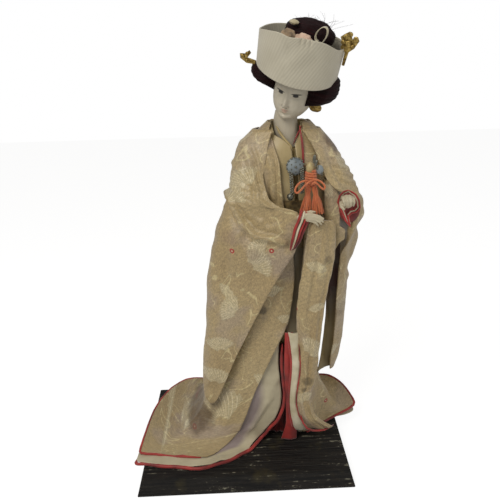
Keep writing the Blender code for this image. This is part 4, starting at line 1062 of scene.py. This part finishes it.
bm = bmesh.new()
bmesh.ops.create_uvsphere(bm, u_segments=128, v_segments=96, radius=1)
mark = bm.verts.layers.float_vector.new("face")
for vert in bm.verts:
    dx, dy, dz = vert.co
    polar = math.asin(max(-1, min(1, dz)))
    height = 2 + 25.5 * math.sin(polar)
    half, front, rear = smooth(HEAD, height)
    ring = max(math.hypot(dx, dy), 1e-6)
    around = math.atan2(dx, -dy)
    close = min(1.0, ring * 2.4)
    x = half * math.sin(around) * close
    y = (front + rear) / 2 - (rear - front) / 2 * math.cos(around) * close
    forward = 0.0
    if math.cos(around) > 0:
        forward += 4.6 * bell(x, 0, 2.3) * bell(height, -6.8, 3.6) + 2.2 * bell(x, 0, 1.9) * bell(height, -1.5, 5.5)
        forward += 0.9 * bell(x, 0, 4.2) * bell(height, -8.2, 1.8)
        forward -= 1.5 * (bell(x, 7.6, 4.2) + bell(x, -7.6, 4.2)) * bell(height, 1.4, 2.6)
        forward += 0.8 * (bell(x, 7.8, 4.0) + bell(x, -7.8, 4.0)) * bell(height, 2.2, 1.5)
        forward += 0.7 * (bell(x, 7.6, 6) + bell(x, -7.6, 6)) * bell(height, 7.5, 2.6)
        forward += 1.5 * bell(x, 0, 3.6) * bell(height, -12.6, 1.3) + 1.5 * bell(x, 0, 2.9) * bell(height, -14.8, 1.3)
        forward -= 0.7 * bell(x, 0, 3.6) * bell(height, -13.5, 0.55)
        forward -= 0.5 * bell(x, 0, 1.0) * bell(height, -11, 1.0)
        forward -= 0.8 * bell(x, 0, 4.5) * bell(height, -16.8, 1.3)
        forward += 1.6 * bell(x, 0, 5.0) * bell(height, -20.3, 2.8)
        forward += 0.8 * (bell(x, 9.5, 5) + bell(x, -9.5, 5)) * bell(height, -7, 5)
        forward *= min(1, 3 * math.cos(around))
    vert[mark] = Vector((x, y - forward, height))
    vert.co = head(x, y - forward, height)
put("doll_face", bm, face, ["head"])
bm = bmesh.new()
bmesh.ops.create_cone(bm, cap_ends=True, segments=48, radius1=1, radius2=1, depth=1)
bmesh.ops.subdivide_edges(bm, edges=[e for e in bm.edges if abs(e.verts[0].co.z - e.verts[1].co.z) > 0.5], cuts=14)
mark = bm.verts.layers.float_vector.new("face")
for vert in bm.verts:
    height = 353 + 36 * vert.co.z
    x, y, half = smooth([(335, 53.4, 2, 13.4), (344, 52.6, 1, 12.8), (352, 51, 0, 12.2), (362, 50, -1, 11.6),
                         (371, 51, -3, 11)], height)
    # every point of the neck takes the face place (0, 20, -22), off the features but low on the chin, so the neck
    # carries the painted shade under the head
    vert[mark] = Vector((0, 20, -22))
    vert.co = Vector((x + half * vert.co.x, y + half * vert.co.y, height))
put("doll_neck", bm, face, [])

# Hands
# Small moulded hands with the same ivory paint, fingers together and slightly bent.
# The right one pinches the robe's edge; the left one rests in its cuff.
# Shell paint gone a little yellow with handling, duller than on the face.
skin, tree, shader = stuff("hand_shell_paint")
spot = node(tree, "ShaderNodeTexCoord", {}).outputs["Object"]
haze = node(tree, "ShaderNodeTexNoise", {"Vector": spot, "Scale": 220, "Detail": 4})
tone = node(tree, "ShaderNodeMix", {0: haze, 6: paint("#a89c80"), 7: paint("#cdc4aa")}, data_type="RGBA")
coat(tree, shader, tone, Roughness=0.45)


def hand(name, limbs, replaced):
    """hand from tapered limbs, each a list of (x, y, z, radius), melted into one skin"""
    bm = bmesh.new()
    for limb in limbs:
        for (ax, ay, az, ar), (bx, by, bz, br) in zip(limb[:-1], limb[1:]):
            for step in range(7):
                t = step / 6
                ball = bmesh.ops.create_uvsphere(bm, u_segments=12, v_segments=8, radius=ar + (br - ar) * t)["verts"]
                bmesh.ops.translate(bm, vec=(ax + (bx - ax) * t, ay + (by - ay) * t, az + (bz - az) * t), verts=ball)
    piece = put(name, bm, skin, replaced)
    melt = piece.modifiers.new("melt", "REMESH")
    melt.mode = "VOXEL"
    melt.voxel_size = 0.45 * MM
    melt.use_smooth_shade = True
    calm = piece.modifiers.new("calm", "SMOOTH")
    calm.iterations = 4
    graph = bpy.context.evaluated_depsgraph_get()
    baked = bpy.data.meshes.new_from_object(piece.evaluated_get(graph))
    piece.modifiers.clear()
    piece.data = baked
    baked.shade_smooth()
    return piece


hand(
    "right_hand_skin",
    [
        [(58.5, -46, 274.5, 2.8), (63, -47, 275.6, 3.0), (68.5, -48.4, 275.8, 3.3), (72.5, -49.6, 275.6, 2.8)],
        [(65, -49.6, 277.4, 2.0), (72.5, -51.2, 277.4, 1.35), (77.5, -52.2, 276, 1.2), (81, -52.4, 273.6, 0.9)],
        [(66, -50, 275.6, 2.0), (73.4, -52, 275.2, 1.35), (78, -53, 273.4, 1.2), (80.6, -53, 270.8, 0.9)],
        [(66, -50, 273.8, 2.0), (72.8, -52, 273, 1.35), (77, -53, 271, 1.2), (79, -52.8, 268.4, 0.9)],
        [(66, -49.6, 272.4, 1.8), (71.6, -51, 270.8, 1.2), (75, -51.8, 268.8, 1.1), (76.2, -51.6, 266.8, 0.85)],
        [(65, -45.8, 278, 1.7), (69.6, -45.4, 279.4, 1.35), (73.6, -46, 279, 1.05)],
    ],
    ["right_hand"],
)
hand(
    "left_hand_skin",
    [
        [(106, -38.6, 286, 5.4), (105.4, -42, 286.8, 6.2), (104.8, -45.6, 288.4, 5.4)],
        [(100.9, -44, 291.2, 2.5), (100.2, -47.6, 291.6, 1.95), (100.4, -50.4, 289.4, 1.6), (100.9, -50.8, 286, 1.2)],
        [(103.6, -45, 292.2, 2.5), (103.2, -49.2, 292.4, 1.95), (103.4, -51.8, 289.6, 1.6), (103.9, -51.6, 285.8, 1.2)],
        [(106.6, -45, 292.2, 2.5), (106.6, -49.2, 292.2, 1.95), (106.8, -51.6, 289.2, 1.6), (106.8, -51.2, 285.6, 1.2)],
        [(109.4, -44, 290.8, 2.3), (109.8, -47.8, 290.8, 1.75), (110, -49.8, 288, 1.5), (109.6, -49.4, 285, 1.1)],
        [(99.6, -42, 285.6, 2.3), (99.2, -45.8, 283.2, 1.85), (101, -48.4, 281.6, 1.45)],
    ],
    ["left_hand"],
)

# Hair
# Dark burgundy silk thread, combed over pads into two side rolls and a crown, and tied in a topknot.
# The threads have come loose on top, where fine strands stand up from it.
# Silk thread, nearly black with a red cast; the combed lines run round each roll.
thread, tree, shader = stuff("combed_silk_thread")
cloth = node(tree, "ShaderNodeUVMap", {}, uv_map="cloth")
comb = node(tree, "ShaderNodeMapping", {"Vector": cloth, "Scale": (60, 1500, 1)})
comb = node(tree, "ShaderNodeTexNoise", {"Vector": comb, "Scale": 1, "Detail": 3})
comb = node(tree, "ShaderNodeMapRange", {"Value": comb, "From Min": 0.35, "From Max": 0.7})
tone = node(tree, "ShaderNodeMix", {0: comb, 6: paint("#070203"), 7: paint("#2e0d11")}, data_type="RGBA")
relief = node(tree, "ShaderNodeBump", {"Strength": 0.8, "Distance": 0.0007, "Height": comb})
coat(tree, shader, tone, relief, Roughness=0.55, Specular_IOR_Level=0.15)
HAIR_CUT = [(0, 30, -12, 22), (0.12, 38, -18, 28), (0.25, 42.5, -20, 30), (0.4, 44, -21, 31), (0.62, 43, -21, 32),
            (0.74, 35.5, -20, 31), (1, 34.5, -19, 31)]


def hair_side(v, u, out):
    angle = math.radians(56 + 248 * u)
    bottom = -3.5 - 4 * math.sin(angle)
    shoulder = 20.2 + 2.2 * math.sin(angle)
    height = bottom + (shoulder - bottom) * (1 - v) / 0.75
    if v < 0.25:
        height = shoulder + (27.8 - shoulder) * (0.25 - v) / 0.25
    if out:
        half, front, rear = smooth(HAIR_CUT, 1 - v)
        ridge = 0.35 * math.sin(v * 60 + 3 * noise.noise(Vector((u * 9, v * 3, 0))))
        half, front, rear = half + ridge, front - ridge, rear + ridge
    else:
        half, front, rear = smooth(HEAD, height)
        slack = 0.6 + 2.5 * max(height - 12, 0) / 16
        half, front, rear = half + slack, front - slack, rear + slack
    x = half * math.sin(angle) - (2.8 if out else 0)
    y = (front + rear) / 2 - (rear - front) / 2 * math.cos(angle)
    return head(x, y, height)


sides_outer = grid(lambda v, u: hair_side(v, u, True), 60, 120)
sides_inner = grid(lambda v, u: hair_side(v, u, False), 60, 120)
put("hair_side_rolls", sheet_mesh(sides_outer, sides_inner), thread, ["hair_sides"])


def knob(name, centre, half, look, replaced, ridges, lumps, segments=64, rings=40):
    """soft rounded mass in the head's frame, with ridges that run round it"""
    bm = bmesh.new()
    bmesh.ops.create_uvsphere(bm, u_segments=segments, v_segments=rings, radius=1)
    layer = bm.loops.layers.uv.new("cloth")
    flat = {}
    for vert in bm.verts:
        x, y, z = vert.co
        around = math.atan2(z, y)
        flat[vert] = (x * half[0] * MM, around * half[1] * MM)
        grow = 1 + ridges * math.sin(around * 9 + 5 * x + 3 * noise.noise(vert.co * 2))
        grow += lumps * noise.noise(vert.co * 2.4)
        vert.co = head(*[centre[k] + vert.co[k] * half[k] * grow for k in range(3)])
    for item in bm.faces:
        for loop in item.loops:
            loop[layer].uv = flat[loop.vert]
    return put(name, bm, look, replaced)


knob("hair_topknot_roll", (2, 9, 51.6), (23.5, 16, 12.4), thread, ["hair_topknot"], 0.018, 0.07)
crown_hair, tree, shader = stuff("crown_silk_thread")
spot = node(tree, "ShaderNodeTexCoord", {}).outputs["Object"]
comb = node(tree, "ShaderNodeMapping", {"Vector": spot, "Scale": (1200, 80, 400)})
comb = node(tree, "ShaderNodeTexNoise", {"Vector": comb, "Scale": 1, "Detail": 3})
tone = node(tree, "ShaderNodeMix", {0: comb, 6: paint("#070304"), 7: paint("#2b121a")}, data_type="RGBA")
relief = node(tree, "ShaderNodeBump", {"Strength": 0.8, "Distance": 0.0007, "Height": comb})
coat(tree, shader, tone, relief, Roughness=0.5, Specular_IOR_Level=0.3)
dress("hair_crown", crown_hair)


def thread_curve(name, radius, roundness=0):
    """empty curve whose lines become round threads with closed ends"""
    made = bpy.data.curves.new(name, "CURVE")
    made.dimensions = "3D"
    made.bevel_depth = radius * MM
    made.bevel_resolution = roundness
    made.use_fill_caps = True
    return made


def curve_spot(spot):
    """place of a curve's point, with its weight"""
    return (spot.x * MM, spot.y * MM, (spot.z + BOARD_TOP) * MM, 1)


TALLEST_STRAND = 470.0
chance = random.Random(11)
strands = thread_curve("loose_hair_strands", 0.11)
for number in range(90):
    long = number < 12
    angle = chance.uniform(0.5, 1.5) if long else chance.uniform(-0.9, 2.0)
    start = Vector((2 + 21 * math.sin(angle) * chance.uniform(0.75, 1), 9 + chance.uniform(-12, 8),
                    51.6 + 11.5 * math.cos(angle) * chance.uniform(0.8, 1)))
    way = Vector((math.sin(angle) + chance.uniform(-0.4, 0.5), chance.uniform(-0.5, 0.5), math.cos(angle) + 0.2))
    way.normalize()
    bend = Vector((chance.uniform(-1.6, 1.6), chance.uniform(-0.8, 0.8), chance.uniform(-1.2, 0.6)))
    reach = chance.uniform(9, 15) if long else chance.uniform(2, 5)
    line = strands.splines.new("POLY")
    line.points.add(6)
    for i, point in enumerate(line.points):
        t = i / 6
        spot = head(*(start + way * reach * t + bend * reach * 0.5 * t * t))
        spot.z = min(spot.z, TALLEST_STRAND)
        point.co = curve_spot(spot)
        point.radius = 1 - 0.5 * t
mount("loose_hair_strands", strands, crown_hair, [])

# Hood
# A band of ivory ribbed silk, stiffened and sewn into a ring round the hair, lower and pointed in
# front. Three tucks pinch its upper edge a little to the doll's left of the middle.
# Ribbed silk: slanting ribs that catch the light, drawn about 2.7 mm apart.
crepe, tree, shader = stuff("ribbed_ivory_silk")
cloth = node(tree, "ShaderNodeUVMap", {}, uv_map="cloth")
slant = node(tree, "ShaderNodeMapping", {"Vector": cloth, "Rotation": (0, 0, math.radians(24))})
ribs = {"Vector": slant, "Scale": 118, "Distortion": 1.6, "Detail": 2, "Detail Scale": 0.25}
ribs = node(tree, "ShaderNodeTexWave", ribs, wave_type="BANDS", bands_direction="X")
cloud = node(tree, "ShaderNodeTexNoise", {"Vector": cloth, "Scale": 38, "Detail": 3})
tone = node(tree, "ShaderNodeMix", {0: cloud, 6: paint("#aba48f"), 7: paint("#cbc5b2")}, data_type="RGBA")
dim = node(tree, "ShaderNodeMath", {0: ribs, 1: 0.14}, operation="MULTIPLY")
tone = node(tree, "ShaderNodeMix", {0: dim, 6: tone, 7: paint("#857d68")}, data_type="RGBA")
relief = node(tree, "ShaderNodeBump", {"Strength": 0.35, "Distance": 0.0004, "Height": ribs.outputs[1]})
coat(tree, shader, tone, relief, Roughness=0.5, Sheen_Weight=0.3)


def hood(v, u):
    angle = 2 * math.pi * u
    side, ahead = math.sin(angle), math.cos(angle)
    front = max(0.0, ahead)
    near = angle - 2 * math.pi if angle > math.pi else angle
    top = 49 - side + 9.5 * front**2 + 3 * bell(near, 0.75, 0.35) - 1.6 * bell(near, 0, 0.16)
    low = 20.5 - 4 * side - 4.5 * front**1.6
    height = low + (top - low) * (1 - v)
    point = 1 + 0.035 * front**10
    square = 1 + 0.05 * math.sin(2 * angle) ** 2
    x = -1.4 + 38 * side * square * (0.985 + 0.03 * (1 - v))
    y = 2 - 34 * ahead * square * point * (0.985 + 0.03 * (1 - v))
    for tuck in (0.26, 0.36, 0.46):
        y += 1.9 * bell(near, tuck, 0.028) * max(0, 1 - v * 4) ** 1.2
    y -= 0.96 * bell(near, 0, 0.35) * max(0, 1 - v * 2.2)
    y += 0.7 * math.sin(near * 9 + v * 5) * bell(near, 0, 0.6) * bell(v, 0.35, 0.25)
    return head(x, y, height)


hood_points = grid(hood, 40, 241)
bm = sheet_mesh(hood_points)
bmesh.ops.remove_doubles(bm, verts=bm.verts, dist=0.01)
bmesh.ops.recalc_face_normals(bm, faces=bm.faces)
hood_piece = put("hood_band_silk", bm, crepe, ["hood_band"])
thicken(hood_piece, 1.2)
edge = hood_piece.modifiers.new("soft_edge", "BEVEL")
edge.width = 0.35 * MM
edge.segments = 2
edge.limit_method = "ANGLE"
edge.angle_limit = math.radians(50)

# Things in the hair
# A curled ribbon loop and its knot in cream silk, a pinkish and a spotted tan cloth bunched inside the
# hood, gilt sheet brass pins cut as a flower spray and a curl, and a gilt comb under the left roll.
PINK = silk("faded_pink_silk", "#a88a72", "#d8b9a2", 700, 0.6)
TAN = silk("spotted_tan_silk", "#2f2419", "#c8a983", 700, 0.6)
RIBBON_WIDTH = 4.2


def ribbon_curl(v, u):
    angle = math.radians(-62 + 330 * v)
    x = 18.6 + 4.0 * (1 + 0.25 * v) * math.cos(angle) + 2.0 * math.sin(angle)
    return head(x, -9.5 + RIBBON_WIDTH * (u - 0.5), 59.5 + 7 * math.sin(angle) - 3 * (1 - v))


ribbon = put("curled_ribbon", sheet_mesh(grid(ribbon_curl, 34, 4)), CREAM, ["hair_ribbon_loop"])
thicken(ribbon, 0.5)
knob("ribbon_knot", (-9.5, -5, 61.5), (4.2, 3.6, 2.0), CREAM, ["hair_ribbon_knot"], 0.05, 0.16, 36, 24)
knob("pink_cloth", (5, -16, 51), (8, 6.4, 6), PINK, ["pink_lining_cloth"], 0.04, 0.22, 48, 30)
knob("tan_cloth", (-9.5, -15, 51), (7, 6, 6.4), TAN, [], 0.04, 0.25, 36, 24)

# Gilt brass gone dull: brown grime in spots of a few millimetres over pale gold.
gilt, tree, shader = stuff("tarnished_gilt_brass")
spot = node(tree, "ShaderNodeTexCoord", {}).outputs["Object"]
grime = node(tree, "ShaderNodeTexNoise", {"Vector": spot, "Scale": 320, "Detail": 4})
grime = node(tree, "ShaderNodeMapRange", {"Value": grime, "From Min": 0.35, "From Max": 0.7})
tone = node(tree, "ShaderNodeMix", {0: grime, 6: paint("#6b5426"), 7: paint("#cbb068")}, data_type="RGBA")
relief = node(tree, "ShaderNodeBump", {"Strength": 0.6, "Distance": 0.0006, "Height": grime})
coat(tree, shader, tone, relief, Roughness=0.42, Metallic=0.75)
dress("gold_flower_pin", gilt)
dress("gold_curl_pin", gilt)
knob("gilt_comb", (22.5, 5, -11), (6.4, 1.4, 4.8), gilt, ["gold_comb"], 0.03, 0.05, 36, 20)
bm = bmesh.new()
for x, z, size in ((40.5, 53, 3.0), (36.5, 58, 2.4), (46, 58, 2.6), (40.5, 61, 2.2), (35.5, 53.5, 2.0),
                   (44.5, 51.5, 2.0), (-54.5, 20.5, 1.8), (-50.5, 24, 1.6), (-50, 17.5, 1.5)):
    deep = 2.4 if x > 0 else -4.6
    petal = bmesh.ops.create_uvsphere(bm, u_segments=16, v_segments=10, radius=1)["verts"]
    for vert in petal:
        vert.co = head(x + size * vert.co.x, deep + 0.9 * vert.co.y, z + size * vert.co.z)
put("gilt_petals", bm, gilt, [])

# Chest ornaments
# A small round purse of grey blue silk with dark beads, two dull silver chains with a bead, and a
# pale sheath, bound in orange cord, with silver leaves and a blue drop beside it. An orange bow is
# tied below them.
blue = silk("grey_blue_silk", "#525c60", "#848d90", 800, 0.6)
# Silver nearly black with tarnish, bright only where it is rubbed.
silver, tree, shader = stuff("tarnished_silver")
spot = node(tree, "ShaderNodeTexCoord", {}).outputs["Object"]
grime = node(tree, "ShaderNodeTexNoise", {"Vector": spot, "Scale": 400, "Detail": 3})
tone = node(tree, "ShaderNodeMix", {0: grime, 6: paint("#2a2a24"), 7: paint("#9a998c")}, data_type="RGBA")
coat(tree, shader, tone, Roughness=0.4, Metallic=0.8)


def pebble(name, centre, half, look, replaced, lump=0.03):
    """rounded piece, a little uneven"""
    bm = bmesh.new()
    bmesh.ops.create_uvsphere(bm, u_segments=32, v_segments=20, radius=1)
    for vert in bm.verts:
        grow = 1 + lump * noise.noise(vert.co * 2.2)
        vert.co = Vector([centre[k] + half[k] * vert.co[k] * grow for k in range(3)])
    return put(name, bm, look, replaced)


pebble("purse_silk", (56.4, -29.4, 320.5), (8.3, 5.8, 8.3), blue, ["pouch_disc"])
bm = bmesh.new()
for count, ring, size in ((14, 8.2, 1.15), (6, 4.6, 0.75), (1, 0, 1.3)):
    for number in range(count):
        angle = 2 * math.pi * number / count
        x, z = ring * math.sin(angle), ring * math.cos(angle)
        deep = 5.8 * math.sqrt(max(1 - (ring / 8.6) ** 2, 0.02))
        bead = bmesh.ops.create_uvsphere(bm, u_segments=10, v_segments=6, radius=size)["verts"]
        bmesh.ops.translate(bm, vec=(56.4 + x, -29.4 - deep, 320.5 + z), verts=bead)
put("purse_beads", bm, silver, [])
for name, start, end, links, replaced in (
    ("left_chain_links", (52, -32.4, 317), (53.2, -34.4, 294), 10, "chain_left"),
    ("right_chain_links", (62.6, -33.4, 320), (62.8, -35.4, 295), 12, "chain_right"),
):
    bm = bmesh.new()
    for number in range(links):
        t = (number + 0.5) / links
        spot = Vector(start).lerp(Vector(end), t)
        for side in (-0.9, 0.9):
            bead = bmesh.ops.create_uvsphere(bm, u_segments=10, v_segments=8, radius=1.15)["verts"]
            for vert in bead:
                vert.co = Vector((vert.co.x * 0.9 + side, vert.co.y * 0.8, vert.co.z * 1.1 + side * 0.5)) + spot
    put(name, bm, silver, [replaced])
pebble("silver_bead", (51.6, -34, 291.6), (3.4, 3.0, 3.6), silver, ["chain_bead"], lump=0.12)
pebble("sheath_silk", (70.6, -30.8, 317), (3.9, 3.8, 7.4), GOLD_SILK, ["silk_sheath"])
pebble("blue_drop_silk", (79.6, -33.6, 317), (3.6, 2.4, 4.6), blue, ["blue_drop"])
bm = bmesh.new()
for x, z, size, lean in ((74, 327.6, 2.6, 0.3), (75.6, 323.6, 1.9, 0.9), (77, 319.5, 1.4, 0.0), (81.6, 313, 1.2, 0.5)):
    leaf = bmesh.ops.create_uvsphere(bm, u_segments=16, v_segments=10, radius=1)["verts"]
    for vert in leaf:
        across = x + size * vert.co.x * 0.7 + lean * vert.co.z
        vert.co = Vector((across, -35.4 + 0.7 * vert.co.y, z + 1.7 * size * vert.co.z))
put("silver_leaves", bm, silver, [])

# Twisted orange silk cord, soft and a little faded on its raised threads.
cord, tree, shader = stuff("orange_silk_cord")
spot = node(tree, "ShaderNodeTexCoord", {}).outputs["Object"]
ply = node(tree, "ShaderNodeMapping", {"Vector": spot, "Scale": (700, 700, 130)})
ply = node(tree, "ShaderNodeTexNoise", {"Vector": ply, "Scale": 1, "Detail": 3})
tone = node(tree, "ShaderNodeMix", {0: ply, 6: paint("#9a3f1c"), 7: paint("#de8450")}, data_type="RGBA")
relief = node(tree, "ShaderNodeBump", {"Strength": 0.5, "Distance": 0.0005, "Height": ply})
coat(tree, shader, tone, relief, Roughness=0.55, Sheen_Weight=0.3)
coil = []
for step in range(150):
    t = step / 149
    angle = 2 * math.pi * 6.5 * t
    height = 316.5 - 15.5 * t
    size = 4.9 - 0.7 * abs(2 * t - 1) ** 2
    coil.append((71.1 + size * math.sin(angle), -33.2 + 1.4 * abs(t - 0.5) - size * 1.15 * math.cos(angle), height))
rope("sheath_cord_binding", coil, 1.3, cord, ["sheath_binding"], sides=8)

bow = [(71, -40.2, 303.6), (69.4, -41.8, 306.6), (65.4, -43, 308.6), (60.4, -43.8, 308), (56.2, -44, 304),
       (54.8, -44.2, 299.6), (57, -44.8, 297.8), (60.4, -45.4, 301), (64.2, -45.2, 305), (68, -44.6, 308),
       (71.4, -43.8, 309), (75.4, -43.6, 309.4), (80, -44, 307), (82.8, -44.4, 303.4), (82, -44.8, 300.6),
       (79, -45.4, 302.4), (76.2, -45.6, 305.4), (72.8, -45, 307.4), (70.4, -44.6, 305)]
line = []
for number in range(len(bow) - 1):
    for part in range(4):
        t = part / 4
        before, here, after, beyond = (Vector(bow[min(max(number + k, 0), len(bow) - 1)]) for k in (-1, 0, 1, 2))
        line.append(0.5 * (2 * here + (after - before) * t + (2 * before - 5 * here + 4 * after - beyond) * t**2
                    + (3 * here - before - 3 * after + beyond) * t**3))
bow_curve = thread_curve("bow_cord", 1.0, 2)
spline = bow_curve.splines.new("POLY")
spline.points.add(len(line) - 1)
for number, spot in enumerate(line):
    spline.points[number].co = curve_spot(spot)
bow_piece = mount("bow_cord", bow_curve, cord, ["bow_loop_left", "bow_loop_right"])

# Tassels
# Two tassels of orange silk threads under the bow, each tied at its neck and flared at its foot.
# The threads are drawn thicker than the real ones so that each can be seen.
chance = random.Random(5)
for name, top, foot, wide, replaced in (
    ("left_tassel_threads", (67.8, -38.6, 302.4), (65.0, -40.6, 278.5), 5.3, "tassel_left"),
    ("right_tassel_threads", (73.4, -38.8, 302.4), (77.4, -41, 277.2), 6.3, "tassel_right"),
):
    threads = thread_curve(name, 0.42)
    for number in range(150):
        angle = chance.uniform(0, 2 * math.pi)
        out = math.sqrt(chance.uniform(0.05, 1))
        line = threads.splines.new("POLY")
        line.points.add(7)
        wave = chance.uniform(0, 6.28)
        short = chance.uniform(-1.5, 1.2)
        for i, point in enumerate(line.points):
            t = i / 7
            grow = smooth([(0, 1.7), (0.16, 2.6), (0.26, 2.0), (0.55, wide * 0.72), (1, wide)], t)
            centre = Vector(top).lerp(Vector(foot), min(1, t * 1.05))
            centre.x += 0.6 * math.sin(math.pi * t)
            spot = centre + Vector((math.sin(angle) * out * grow, -math.cos(angle) * out * grow * 0.8, 0))
            spot.x += 0.3 * math.sin(wave + 5 * t)
            spot.z += short * t
            point.co = curve_spot(spot)
    mount(name, threads, cord, [replaced])
